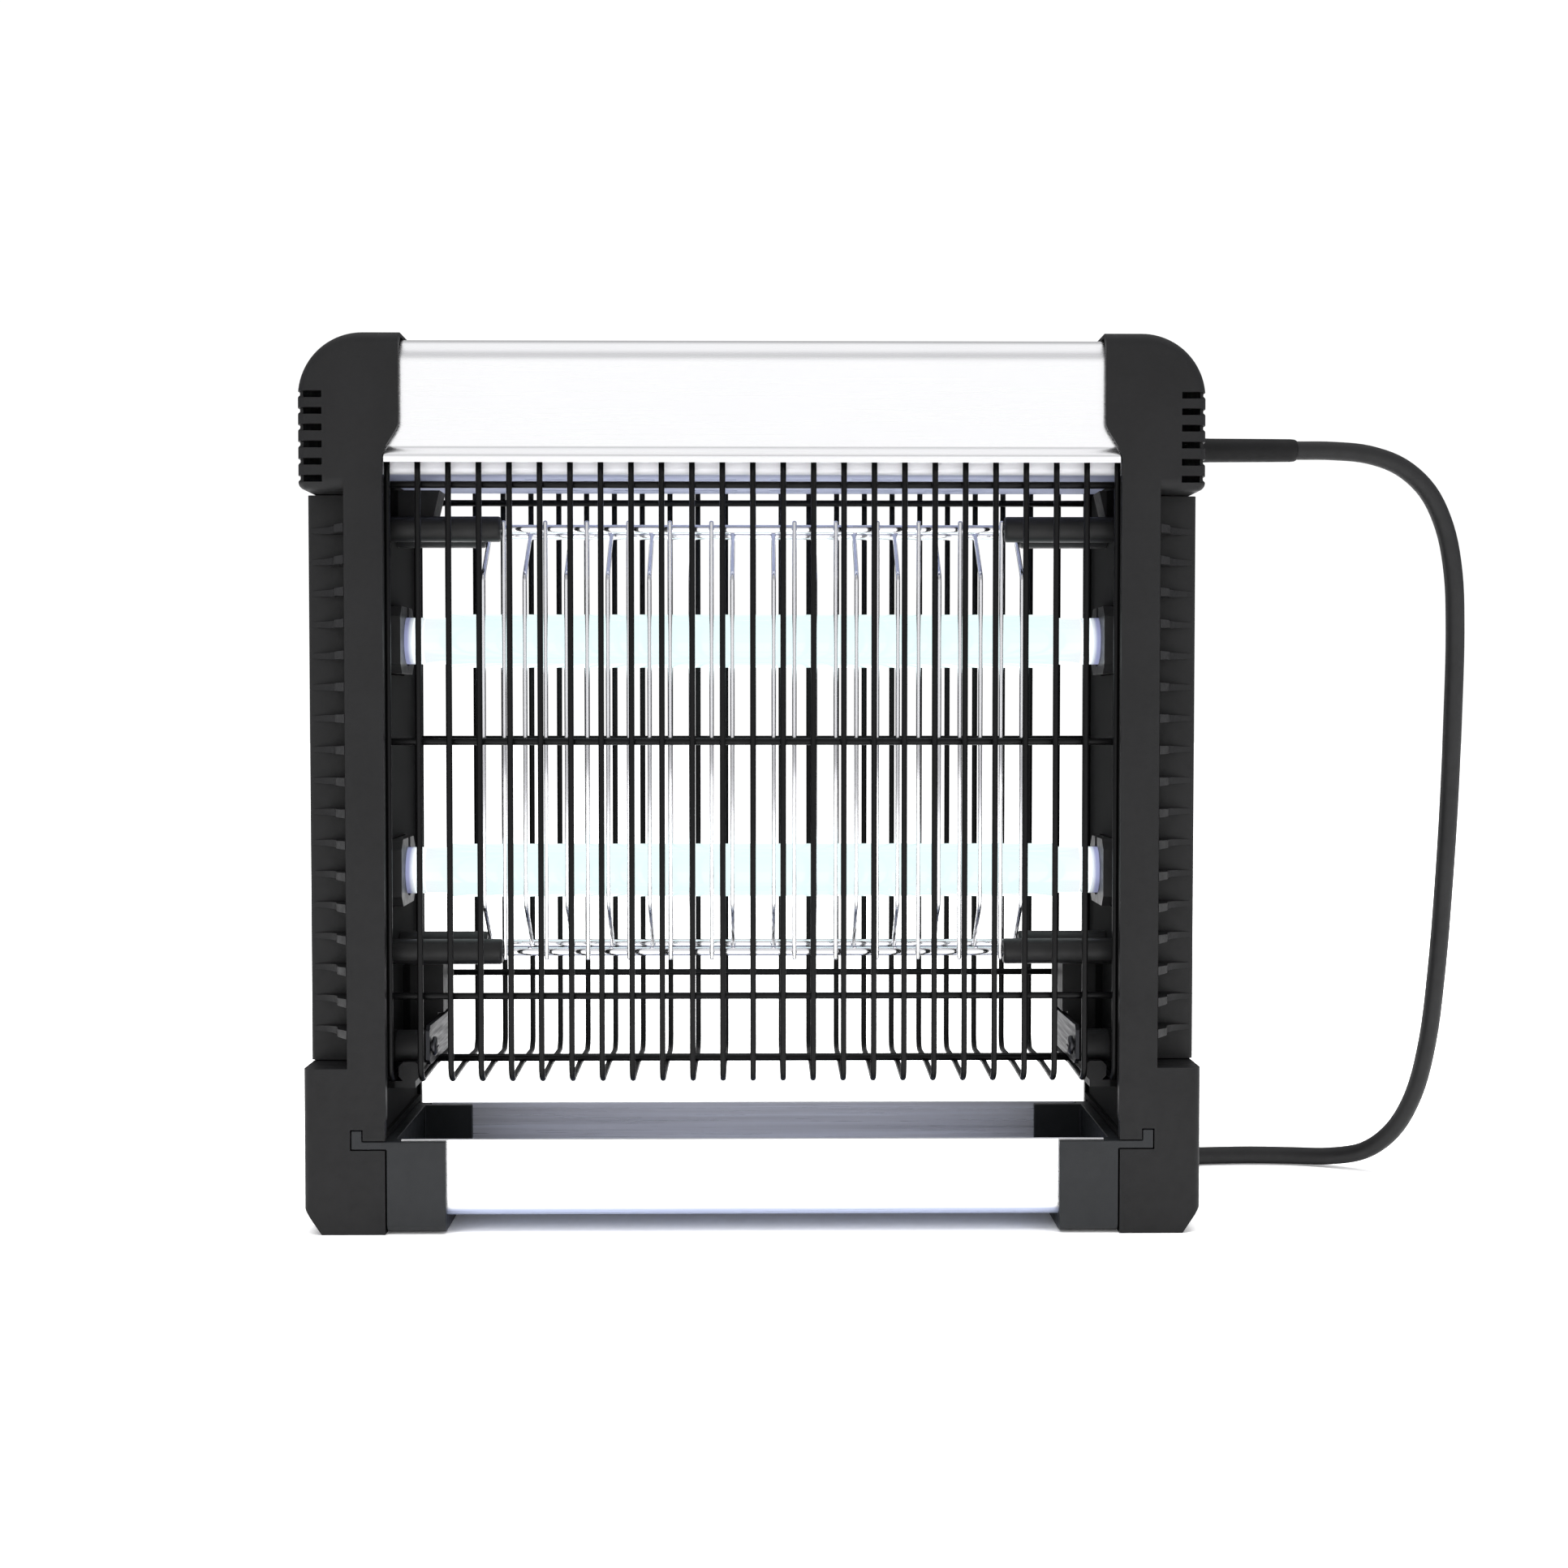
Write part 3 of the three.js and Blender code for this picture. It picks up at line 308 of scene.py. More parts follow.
def weld(x, y, z, size):
    """The flattened bead where two wires are welded together."""
    bm = bmesh.new()
    bmesh.ops.create_uvsphere(bm, u_segments=10, v_segments=6, radius=1)
    bmesh.ops.scale(bm, vec=size, verts=bm.verts)
    bmesh.ops.translate(bm, vec=(x, y, z), verts=bm.verts)
    return bm


# ---------------------------------------------------------------- materials

def nodes_of(name):
    material = bpy.data.materials.new(name)
    material.use_nodes = True
    tree = material.node_tree
    return material, tree, tree.nodes["Principled BSDF"]


def add(tree, kind, inputs=None, **settings):
    node = tree.nodes.new(kind)
    for key, value in settings.items():
        setattr(node, key, value)
    for key, value in (inputs or {}).items():
        if isinstance(value, bpy.types.NodeSocket):
            tree.links.new(value, node.inputs[key])
        else:
            node.inputs[key].default_value = value
    return node


def coordinates(tree, scale=(1, 1, 1)):
    place = add(tree, "ShaderNodeTexCoord").outputs["Object"]
    return add(tree, "ShaderNodeMapping", {"Vector": place, "Scale": scale}).outputs["Vector"]


def noise(tree, vector, scale, detail=3.0, rough=0.55):
    inputs = {"Vector": vector, "Scale": scale, "Detail": detail, "Roughness": rough}
    return add(tree, "ShaderNodeTexNoise", inputs).outputs["Fac"]


def fade(tree, value, start, end, low=0.0, high=1.0):
    """A number that goes from low to high while value goes from start to end."""
    inputs = {"Value": value, "From Min": start, "From Max": end, "To Min": low, "To Max": high}
    return add(tree, "ShaderNodeMapRange", inputs).outputs["Result"]


def spread(tree, value, low, high):
    """Stretches a noise's middle range to run from low to high."""
    return fade(tree, value, 0.3, 0.7, low, high)


def calculated(tree, operation, *values):
    return add(tree, "ShaderNodeMath", dict(enumerate(values)), operation=operation).outputs[0]


def axes(tree):
    """The X, Y and Z of a point on the piece, in metres."""
    return add(tree, "ShaderNodeSeparateXYZ", {"Vector": coordinates(tree)}).outputs


def feed(shader, name, output):
    """Links an output to one of the shader's inputs."""
    shader.id_data.links.new(output, shader.inputs[name])


def source(shader, name):
    """The output that feeds one of the shader's inputs."""
    return shader.inputs[name].links[0].from_socket


def ramp(tree, value, *stops):
    node = add(tree, "ShaderNodeValToRGB", {"Fac": value})
    elements = node.color_ramp.elements
    while len(elements) < len(stops):
        elements.new(0.5)
    for element, (position, color) in zip(elements, stops):
        element.position = position
        element.color = (*color, 1)
    return node.outputs["Color"]


def mixed(tree, share, first, second, blend="MIX"):
    """Two colours mixed. Each is a colour or the output of a node, and so is the share of the second."""
    node = tree.nodes.new("ShaderNodeMix")
    node.data_type = "RGBA"
    node.blend_type = blend
    for index, value in ((0, share), (6, first), (7, second)):
        if isinstance(value, bpy.types.NodeSocket):
            tree.links.new(value, node.inputs[index])
        else:
            node.inputs[index].default_value = value
    return node.outputs[2]


def shaded(color, factor):
    return tuple(min(1, c * factor) for c in color)


def bump(tree, shader, height, distance):
    inputs = {"Height": height, "Distance": distance}
    feed(shader, "Normal", add(tree, "ShaderNodeBump", inputs).outputs["Normal"])


def moulded(name, color, roughness, grain=2600, depth=0.02 * mm, variation=0.18, gloss=0.35):
    """Moulded plastic or rubber: spark-eroded grain, faint flow marks and an uneven sheen."""
    material, tree, shader = nodes_of(name)
    place = coordinates(tree)
    flow = noise(tree, place, 42, 4)
    dark, light = shaded(color, 1 - variation), shaded(color, 1 + variation)
    feed(shader, "Base Color", ramp(tree, flow, (0.3, dark), (0.7, light)))
    fine = noise(tree, place, 310, 5)
    feed(shader, "Roughness", spread(tree, fine, roughness - 0.06, roughness + 0.07))
    bump(tree, shader, noise(tree, place, grain, 2, 0.6), depth)
    shader.inputs["IOR"].default_value = 1.45
    shader.inputs["Specular IOR Level"].default_value = gloss
    return material


def metal(
    name, color, roughness, brush=(1, 1, 1), scale=900, depth=0.004 * mm, variation=0.05, sheen=0.22,
    metallic=1.0,
):
    """Bare or plated metal: brush scales the streaks, long along the axis that it makes small."""
    material, tree, shader = nodes_of(name)
    shader.inputs["Metallic"].default_value = metallic
    streaks = noise(tree, coordinates(tree, brush), scale, 4)
    cloud = noise(tree, coordinates(tree), 30, 3)
    dark, light = shaded(color, 1 - variation), shaded(color, 1 + variation)
    feed(shader, "Base Color", ramp(tree, cloud, (0.3, dark), (0.7, light)))
    low, high = roughness * (1 - sheen), roughness * (1 + sheen)
    feed(shader, "Roughness", spread(tree, streaks, low, high))
    bump(tree, shader, streaks, depth)
    return material


def frame_plastic():
    """The end frames' plastic, with painted shade: darker and duller on the inner walls beside the guards.
    """
    material = moulded("black_plastic", (0.0065, 0.0065, 0.0069), 0.5, gloss=0.28)
    tree = material.node_tree
    shader = tree.nodes["Principled BSDF"]
    where = axes(tree)
    across, depth = (calculated(tree, "ABSOLUTE", where[axis]) for axis in "XY")
    inward = fade(tree, across, WALL_X + 3 * mm, WALL_X + 1 * mm)
    between = fade(tree, depth, LIP_Y + 1.4 * mm, LIP_Y + 0.6 * mm)
    past_fittings = fade(tree, across, FRAME_INNER_X - 1.2 * mm, FRAME_INNER_X - 0.6 * mm)
    recess = calculated(tree, "MULTIPLY", calculated(tree, "MULTIPLY", inward, between), past_fittings)
    # painted shade: the base colour goes nearly black on the inner walls beside the guards
    dark = mixed(tree, recess, source(shader, "Base Color"), (0.001, 0.001, 0.0011, 1))
    feed(shader, "Base Color", dark)
    feed(shader, "Roughness", calculated(tree, "MAXIMUM", recess, source(shader, "Roughness")))
    return material


def tray_metal():
    """The trough's aluminium: a painted highlight makes its front face bright, painted shade makes it darker
    and less metallic elsewhere, and painted lamp light makes it bluish on its floor.
    """
    material, tree, shader = nodes_of("tray_aluminium")
    along = coordinates(tree, (0.012, 1, 1))
    streaks = noise(tree, along, 1900, 4)
    # brushed streaks in darker tones: the painted shade on every face but the front
    dark, middle, light = (0.5, 0.5, 0.54), (0.62, 0.62, 0.67), (0.72, 0.73, 0.8)
    brushed_and_shaded = ramp(tree, noise(tree, along, 520, 2), (0.3, dark), (0.55, middle), (0.72, light))
    where = axes(tree)
    bottom = fade(tree, where["Z"], TRAY_LOW.z + 3 * mm, TRAY_LOW.z + 2.6 * mm)
    # painted lamp light: the floor of the trough is tinted bluish
    brushed_and_shaded = mixed(tree, bottom, brushed_and_shaded, (0.47, 0.52, 0.68, 1))
    inside = fade(tree, where["Y"], TRAY_LOW.y + 0.2 * mm, TRAY_LOW.y + 0.7 * mm)
    # painted highlight: the front face is near white, and the other faces take the painted shade
    feed(shader, "Base Color", mixed(tree, inside, (0.97, 0.97, 0.98, 1), brushed_and_shaded))
    feed(shader, "Metallic", fade(tree, inside, 0, 1, 1.0, 0.5))
    feed(shader, "Roughness", spread(tree, streaks, 0.24, 0.38))
    bump(tree, shader, streaks, 0.001 * mm)
    return material


def plate_metal():
    """The base plate's aluminium: its rim keeps the bright metal colour, and its underside is darker and
    bluish, a painted reflection of the lamps' light.
    """
    brush = (0.004, 1, 1)
    color = (0.9, 0.9, 0.93)
    material = metal("plate_aluminium", color, 0.62, brush, 1800, 0.0002 * mm, 0.01, metallic=0.3)
    tree = material.node_tree
    shader = tree.nodes["Principled BSDF"]
    rim = fade(tree, axes(tree)["Z"], BASE_LOW.z + 0.15 * mm, BASE_LOW.z + 0.5 * mm)
    # painted reflection: the underside's colour is darkened and turned bluish like the lamps' light
    feed(shader, "Base Color", mixed(tree, rim, (0.4, 0.43, 0.6, 1), source(shader, "Base Color")))
    return material


def lit_glass():
    """The lit tube: an even glow, a little warmer towards its ends."""
    material, tree, shader = nodes_of("lit_tube")
    end = fade(tree, calculated(tree, "ABSOLUTE", axes(tree)["X"]), 80 * mm, 98 * mm)
    grain = spread(tree, noise(tree, coordinates(tree), 160, 3), 0, 0.03)
    share = calculated(tree, "ADD", end, grain)
    glow = ramp(tree, share, (0, (0.83, 1, 1)), (0.55, (0.85, 1, 1)), (1, (0.9, 0.97, 1)))
    feed(shader, "Emission Color", glow)
    shader.inputs["Emission Strength"].default_value = 1.0
    shader.inputs["Base Color"].default_value = (0.02, 0.02, 0.02, 1)
    shader.inputs["Roughness"].default_value = 0.08
    shader.inputs["Coat Weight"].default_value = 0.2
    return material


def lamp_cap_material():
    """White metal caps, violet where they run into the holder, with a painted glow of the tube's light on
    them.
    """
    material, tree, shader = nodes_of("lamp_cap")
    zone = fade(tree, calculated(tree, "ABSOLUTE", axes(tree)["X"]), 101.8 * mm, 103.2 * mm)
    feed(shader, "Base Color", ramp(tree, zone, (0, (0.93, 0.97, 1)), (1, (0.42, 0.45, 0.72))))
    # painted glow: emission on the caps stands in for the tube's light falling on them
    feed(shader, "Emission Color", ramp(tree, zone, (0, (0.5, 0.55, 0.55)), (1, (0.12, 0.13, 0.2))))
    shader.inputs["Emission Strength"].default_value = 1.0
    shader.inputs["Metallic"].default_value = 0.2
    fine = noise(tree, coordinates(tree), 900, 3)
    feed(shader, "Roughness", spread(tree, fine, 0.3, 0.42))
    bump(tree, shader, fine, 0.006 * mm)
    return material


MATERIALS = {
    "end_frame": frame_plastic(),
    "louvre_panel": moulded("panel_plastic", (0.0065, 0.0065, 0.0068), 0.5, gloss=0.28),
    "tray_cap": moulded("tray_cap_plastic", (0.011, 0.012, 0.0135), 0.42, grain=3200),
    "screw": metal("screw_steel", (0.1, 0.1, 0.108), 0.34, scale=1500),
    "hood": metal(
        "hood_aluminium", (0.98, 0.98, 0.99), 0.27, (0.004, 1, 1), 3200, 0.00003 * mm,
        variation=0.006, sheen=0.03,
    ),
    "base_plate": plate_metal(),
    "circuit_board": moulded("board_green", (0.02, 0.12, 0.05), 0.35, 1200),
    "transformer": moulded("ferrite", (0.05, 0.05, 0.055), 0.6, 1500),
    "terminal_block": moulded("terminal_white", (0.72, 0.72, 0.68), 0.4, 1800, variation=0.04),
    "ballast": metal("ballast_can", (0.55, 0.57, 0.6), 0.45, (0.05, 1, 1), 1200),
    "capacitor": moulded("capacitor_sleeve", (0.03, 0.05, 0.2), 0.3, 900),
    "lamp_glass": lit_glass(),
    "lamp_cap": lamp_cap_material(),
    "rotor": moulded("rotor_white", (0.7, 0.71, 0.75), 0.35, 2400, variation=0.04),
    "lampholder": moulded("holder_plastic", (0.02, 0.02, 0.0205), 0.38, 3000),
    "grid_wire": metal("bright_wire", (0.95, 0.95, 0.975), 0.075, (1, 1, 0.03), 6000, 0, 0.02),
    "insulator": moulded("insulator_black", (0.009, 0.009, 0.0092), 0.38, 3600, 0.008 * mm),
    "guard_wire": moulded("powder_coat", (0.0028, 0.0028, 0.003), 0.34, 4200, 0.01 * mm, gloss=0.2),
    "guard_plate": metal("plate_steel", (0.045, 0.046, 0.05), 0.46, (1, 0.04, 1), 1500, 0.001 * mm),
    "tray_channel": tray_metal(),
    "strain_relief": moulded("relief_rubber", (0.005, 0.005, 0.0053), 0.55, 2200, gloss=0.22),
    "cord": moulded("cord_sheath", (0.008, 0.008, 0.0084), 0.5, 1900, 0.03 * mm),
    "hank_tie": moulded("tie_plastic", (0.02, 0.02, 0.02), 0.45, 1500),
    "plug_body": moulded("plug_rubber", (0.008, 0.008, 0.0084), 0.5, 2100),
    "plug_blade": metal("blade_brass", (0.83, 0.68, 0.38), 0.22, (0.05, 1, 1), 1400),
}
SLOT_OF = {part["node"]: part["material_slot"] for part in frame["record"]["subparts"]}


def place(piece, body, *nodes):
    """Gives a finished piece its body and its material, and hides the CAD nodes that it stands for."""
    slot = SLOT_OF[nodes[0]]
    piece.data.materials.append(MATERIALS[slot])
    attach(piece, body)
    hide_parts(*nodes)
    return piece


# ---------------------------------------------------------------- camera, light and floor

CAMERA_AT = (0.0017, -0.664, 0.1518)
CAMERA_TILT, CAMERA_TURN = math.radians(88.01), math.radians(-0.657)
LENS, SENSOR = 50.385, 36


def camera():
    """The camera stands nearly straight in front, a little above the middle, and looks down slightly."""
    data = bpy.data.cameras.new("camera")
    data.lens = LENS
    data.sensor_width = SENSOR
    view = bpy.data.objects.new("camera", data)
    view.location = CAMERA_AT
    view.rotation_euler = (CAMERA_TILT, 0, CAMERA_TURN)
    bpy.context.scene.collection.objects.link(view)
    bpy.context.scene.camera = view


def softbox(name, location, target, size, power):
    data = bpy.data.lights.new(name, "AREA")
    data.shape = "RECTANGLE"
    data.size, data.size_y = size
    data.energy = power
    light = bpy.data.objects.new(name, data)
    light.location = location
    light.rotation_euler = (Vector(target) - Vector(location)).to_track_quat("-Z", "Y").to_euler()
    light.visible_camera = False
    light.visible_glossy = False
    bpy.context.scene.collection.objects.link(light)


def studio_world():
    """A tent, white in front and overhead and darker at its sides, which gives bright wires their edges."""
    world = bpy.data.worlds.new("studio")
    world.use_nodes = True
    tree = world.node_tree
    background = tree.nodes["Background"]
    direction = add(tree, "ShaderNodeTexCoord").outputs["Generated"]
    toward = add(tree, "ShaderNodeSeparateXYZ", {"Vector": direction}).outputs
    around = ramp(
        tree, fade(tree, toward["Y"], -1, 1),
        (0.0, (1.05, 1.05, 1.05)), (0.18, (1.0, 1.0, 1.01)), (0.33, (0.46, 0.47, 0.53)),
        (0.5, (0.2, 0.21, 0.26)), (0.8, (0.04, 0.042, 0.055)), (1.0, (0.02, 0.021, 0.025)),
    )
    upward = ramp(
        tree, toward["Z"],
        (0.0, (1.0, 1.0, 1.0)), (0.36, (1.0, 1.0, 1.0)), (0.6, (0.25, 0.25, 0.26)),
        (0.85, (0.3, 0.3, 0.31)), (0.95, (0.9, 0.9, 0.9)),
    )
    rises = ((0.12, 0), (0.2, 0.42), (0.8, 0.5), (0.93, 1))
    overhead = ramp(tree, toward["Z"], *[(z, (share,) * 3) for z, share in rises])
    tent = mixed(tree, 1.0, around, upward, "MULTIPLY")
    tent = mixed(tree, overhead, tent, (0.95, 0.95, 0.96, 1))
    seen = add(tree, "ShaderNodeLightPath").outputs["Is Camera Ray"]
    tree.links.new(mixed(tree, seen, tent, (1.05, 1.05, 1.05, 1)), background.inputs["Color"])
    bpy.context.scene.world = world


def floor():
    """A pale table under the object that turns into a glowing white sweep further out."""
    bm = bmesh.new()
    bmesh.ops.create_circle(bm, cap_ends=True, segments=96, radius=9)
    ground = new_piece("floor", bm)
    material, tree, shader = nodes_of("pale_floor")
    shade = noise(tree, coordinates(tree), 3, 2)
    color = ramp(tree, shade, (0.3, (0.9, 0.9, 0.9)), (0.7, (0.93, 0.93, 0.93)))
    feed(shader, "Base Color", color)
    shader.inputs["Roughness"].default_value = 0.9
    shader.inputs["Specular IOR Level"].default_value = 0.1
    length = add(tree, "ShaderNodeVectorMath", {0: coordinates(tree)}, operation="LENGTH").outputs["Value"]
    glow = ramp(tree, length, (0.14, (0.05, 0.05, 0.05)), (0.55, (1, 1, 1)))
    seen = add(tree, "ShaderNodeLightPath").outputs["Is Camera Ray"]
    glow = mixed(tree, seen, (0.02, 0.02, 0.02, 1), glow)
    feed(shader, "Emission Color", glow)
    shader.inputs["Emission Strength"].default_value = 1.0
    ground.data.materials.append(material)
    ground.location.z = -0.05 * mm


def studio():
    """Four softboxes, sized and placed in metres, that only light the object and never show in it."""
    camera()
    studio_world()
    floor()
    middle = (0, 0, HEIGHT / 2)
    softbox("key", (-0.9, -1.1, 0.9), middle, (0.9, 0.9), 9)
    softbox("fill", (1.1, -0.9, 0.5), middle, (0.7, 1.0), 6)
    softbox("top", (0, -0.1, 1.4), middle, (1.8, 1.4), 34)
    softbox("back", (0.3, 1.5, 0.8), middle, (1.4, 0.8), 10)


# ---------------------------------------------------------------- power cord

CORD_R = 2.8 * mm
CORD_ROUTE = [
    (0.1643, 0, 0.2294),
    (0.175, 0, 0.2293),
    (0.186, 0.0001, 0.2282),
    (0.196, 0.0006, 0.2246),
    (0.2044, 0.0016, 0.2174),
    (0.2102, 0.0032, 0.2066),
    (0.2136, 0.0052, 0.1928),
    (0.2152, 0.0078, 0.175),
    (0.2158, 0.011, 0.15),
    (0.216, 0.0146, 0.122),
    (0.2158, 0.0186, 0.095),
    (0.2153, 0.0228, 0.07),
    (0.2142, 0.028, 0.046),
    (0.2118, 0.0346, 0.0275),
    (0.2072, 0.042, 0.0145),
    (0.2002, 0.0494, 0.0066),
    (0.1904, 0.0558, 0.0035),
    (0.1789, 0.0598, 0.0029),
    (0.166, 0.0612, 0.00285),
    (0.152, 0.0606, 0.0028),
    (0.137, 0.0586, 0.0028),
    (0.12, 0.056, 0.0028),
    (0.103, 0.0539, 0.0028),
    (0.085, 0.0526, 0.0028),
    (0.0673, 0.0522, 0.0028),
]
HANK_X, HANK_Y = 15 * mm, 75 * mm
HANK_HALF_RUN = 35.5 * mm
HANK_OUTER, HANK_INNER = 22.8 * mm, 17.0 * mm
LEAD_Y = HANK_Y - HANK_OUTER
LAYER_Z = (2.8 * mm, 8.5 * mm)
TIE_RISE = 0.9 * mm
TIE_REACH = 12 * mm
PLUG_Z = 8.3 * mm
PLUG_TAIL_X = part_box("plug_body")[1].x


def run(x_from, x_to, y_from, y_to, z_from, z_to, steps=10):
    """A straight run of the hank that may shift sideways or climb on the way."""
    points = []
    for i in range(steps):
        share = i / steps
        ease = share * share * (3 - 2 * share)
        x = x_from + (x_to - x_from) * share
        points.append((x, y_from + (y_to - y_from) * ease, z_from + (z_to - z_from) * ease))
    return points


def fold(side, radius_from, radius_to, z_from, z_to, steps=12):
    """Half a turn at one end of the hank: front to back at its left end (side -1), or back to front."""
    points = []
    for i in range(steps):
        share = i / steps
        radius = radius_from + (radius_to - radius_from) * share
        angle = math.pi * share
        x = HANK_X + side * (HANK_HALF_RUN + radius * math.sin(angle))
        points.append((x, HANK_Y + side * radius * math.cos(angle), z_from + (z_to - z_from) * share))
    return points


def hank_line():
    """Three laps and a last run: two laps on the table, one inside the other, the rest on top."""
    left, right = HANK_X - HANK_HALF_RUN, HANK_X + HANK_HALF_RUN
    low, high = LAYER_Z
    outer, inner = HANK_OUTER, HANK_INNER
    laps = [
        (outer, outer, inner, low, low),
        (inner, inner, inner, low, high),
        (inner, inner, outer, high, high),
    ]
    points = []
    for front_r, back_r, next_r, z, z_next in laps:
        points += run(right, left, HANK_Y - front_r, HANK_Y - front_r, z, z)
        points += fold(-1, front_r, back_r, z, z)
        points += run(left, right, HANK_Y + back_r, HANK_Y + back_r, z, z)
        points += fold(1, back_r, next_r, z, z_next)
    points += run(right, left, LEAD_Y, LEAD_Y, high, high)
    return [(x, y, z + TIE_RISE * math.exp(-(((x - HANK_X) / TIE_REACH) ** 2))) for x, y, z in points]


def catmull(points, steps):
    """A smooth line through given points, by centripetal Catmull-Rom spans."""
    line = [Vector(p) for p in points]
    line = [line[0] * 2 - line[1]] + line + [line[-1] * 2 - line[-2]]
    result = []
    for p0, p1, p2, p3 in zip(line, line[1:], line[2:], line[3:]):
        t1 = max((p1 - p0).length, 1e-9) ** 0.5
        t2 = t1 + max((p2 - p1).length, 1e-9) ** 0.5
        t3 = t2 + max((p3 - p2).length, 1e-9) ** 0.5
        for i in range(steps):
            t = t1 + (t2 - t1) * i / steps
            a1 = p0 * ((t1 - t) / t1) + p1 * (t / t1)
            a2 = p1 * ((t2 - t) / (t2 - t1)) + p2 * ((t - t1) / (t2 - t1))
            a3 = p2 * ((t3 - t) / (t3 - t2)) + p3 * ((t - t2) / (t3 - t2))
            b1 = a1 * ((t2 - t) / t2) + a2 * (t / t2)
            b2 = a2 * ((t3 - t) / (t3 - t1)) + a3 * ((t - t1) / (t3 - t1))
            result.append(b1 * ((t2 - t) / (t2 - t1)) + b2 * ((t - t1) / (t2 - t1)))
    return result + [line[-2]]


def strain_relief():
    """A moulded relief: a flared root at the wall, then a slim sleeve that thins towards the cord."""
    lo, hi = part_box("strain_relief")
    wall = HALF_W + GAP
    shoulder = lo.x + 2 * mm
    inside = [(5.8, lo.x), (5.8, shoulder), (3.7, shoulder), (3.7, wall), (5.2, wall), (5.4, wall + GAP)]
    flare = [(5.25, 130.9), (4.9, 131.5), (4.45, 132.3), (4.1, 133.1), (3.82, 134.1), (3.64, 135.3)]
    sleeve = [(3.56, 138), (3.52, 146), (3.47, 155), (3.42, 162), (3.3, 163.3), (3.0, 163.85)]
    sleeve.append((2.8, hi.x / mm))
    profile = [(r * mm, x) for r, x in inside] + [(r * mm, x * mm) for r, x in flare + sleeve]
    profile = [(0, profile[0][1])] + profile + [(0, profile[-1][1])]
    return smooth(new_piece("relief", turned(profile, 40, 0, CORD_Z)))


def hank_tie():
    """A tie: a thin band with rounded corners round the middle of the hank."""
    lo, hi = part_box("hank_tie")
    thickness, corner = 0.8 * mm, 2.2 * mm

    def loop(inset):
        r = corner - inset * 0.5
        y0, y1, z0, z1 = lo.y + inset + r, hi.y - inset - r, lo.z + inset + r, hi.z - inset - r
        corners = ((y1, z1), (y0, z1), (y0, z0), (y1, z0))
        return [point for i, (y, z) in enumerate(corners) for point in arc(y, z, r, 90 * i, 90 * i + 90, 6)]

    section = (
        (lo.x, 0.15 * mm), (lo.x + 0.3 * mm, 0), (hi.x - 0.3 * mm, 0), (hi.x, 0.15 * mm),
        (hi.x, thickness - 0.1 * mm), (hi.x - 0.2 * mm, thickness),
        (lo.x + 0.2 * mm, thickness), (lo.x, thickness - 0.1 * mm),
    )
    rings = [[(x, y, z) for y, z in loop(inset)] for x, inset in section]
    return smooth(new_piece("hank_band", loft(rings + rings[:1], closed_ends=False)))


def plug():
    """A flat two-pin plug: a grooved tail, then a body that widens in a soft waist to its face."""
    lo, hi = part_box("plug_body")
    half_h = (hi.z - lo.z) / 2
    profile = [
        (0, 3.3, 3.3), (1.2, 3.6, 3.6), (6, 3.9, 3.9), (11, 4.4, 4.4), (15, 5.1, 4.9), (17.5, 6.2, 5.4),
        (20.5, 8.2, 6.2), (24.5, 10.6, 7.1), (29, 12.2, 7.8), (34, 12.9, 8.2), (40, 13, 8.3),
        (45.4, 12.9, 8.25), (46.9, 12.3, 7.7), (47.7, 11.2, 6.8),
    ]
    rings = []
    for back, half_w, half_t in profile:
        x = hi.x - back * mm
        power = 2 + 2.2 * min(1, back / 24)
        ring = []
        for k in range(40):
            t = 2 * math.pi * k / 40
            cy, cz = math.cos(t), math.sin(t)
            y = half_w * mm * math.copysign(abs(cy) ** (2 / power), cy)
            z = min(half_t * mm, half_h) * math.copysign(abs(cz) ** (2 / power), cz)
            ring.append((x, LEAD_Y + y, PLUG_Z + z))
        rings.append(ring)
    rib_z, rib_back = 8.6 * mm, [back * mm for back in (33, 36, 39, 42)]
    ribs = [
        block(about(hi.x - back, 0.6 * mm), about(LEAD_Y, 9 * mm), about(PLUG_Z + side * rib_z, 0.9 * mm))
        for back in rib_back for side in (-1, 1)
    ]
    body = combined(loft(rings), [("DIFFERENCE", ribs)])
    return rounded(new_piece("plug", body), 0.2 * mm, 2, 50)


def plug_blade(number):
    """A folded brass blade with a bevelled nose and a hole."""
    lo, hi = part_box(f"plug_blade_{number}")
    nose = 1.6 * mm
    outline = [
        (hi.x, lo.z), (hi.x, hi.z), (lo.x + nose, hi.z), (lo.x, hi.z - nose), (lo.x, lo.z + nose),
        (lo.x + nose, lo.z),
    ]
    rim = arc(lo.x + 4.2 * mm, (lo.z + hi.z) / 2, 1.5 * mm, 0, 345, 23)
    hole = prism(rim, "y", lo.y - PAST, hi.y + PAST)
    shape = combined(prism(outline, "y", lo.y, hi.y), [("DIFFERENCE", [hole])])
    return rounded(new_piece(f"blade_{number}", shape), 0.22 * mm)


def power_cord():
    tail = [(PLUG_TAIL_X + d * mm, LEAD_Y, z) for d, z in ((8, 0.00845), (4, 0.00835), (-4, PLUG_Z))]
    line = catmull(CORD_ROUTE, 5) + [Vector(p) for p in hank_line()[1:]] + [Vector(p) for p in tail]
    line = [line[0] - Vector((8 * mm, 0, 0)), line[0] - Vector((4 * mm, 0, 0))] + line
    cord = smooth(new_piece("cord", tube(line, CORD_R, 16)), 80)
    place(cord, "cabinet", "power_cord", "cord_hank", "power_cord_end")
    relief = place(strain_relief(), "cabinet", "strain_relief")
    band = place(hank_tie(), "cabinet", "hank_tie")
    body = place(plug(), "cabinet", "plug_body")
    blades = [place(plug_blade(n), "cabinet", f"plug_blade_{n}") for n in (1, 2)]


studio()
power_cord()


# ---------------------------------------------------------------- end frames

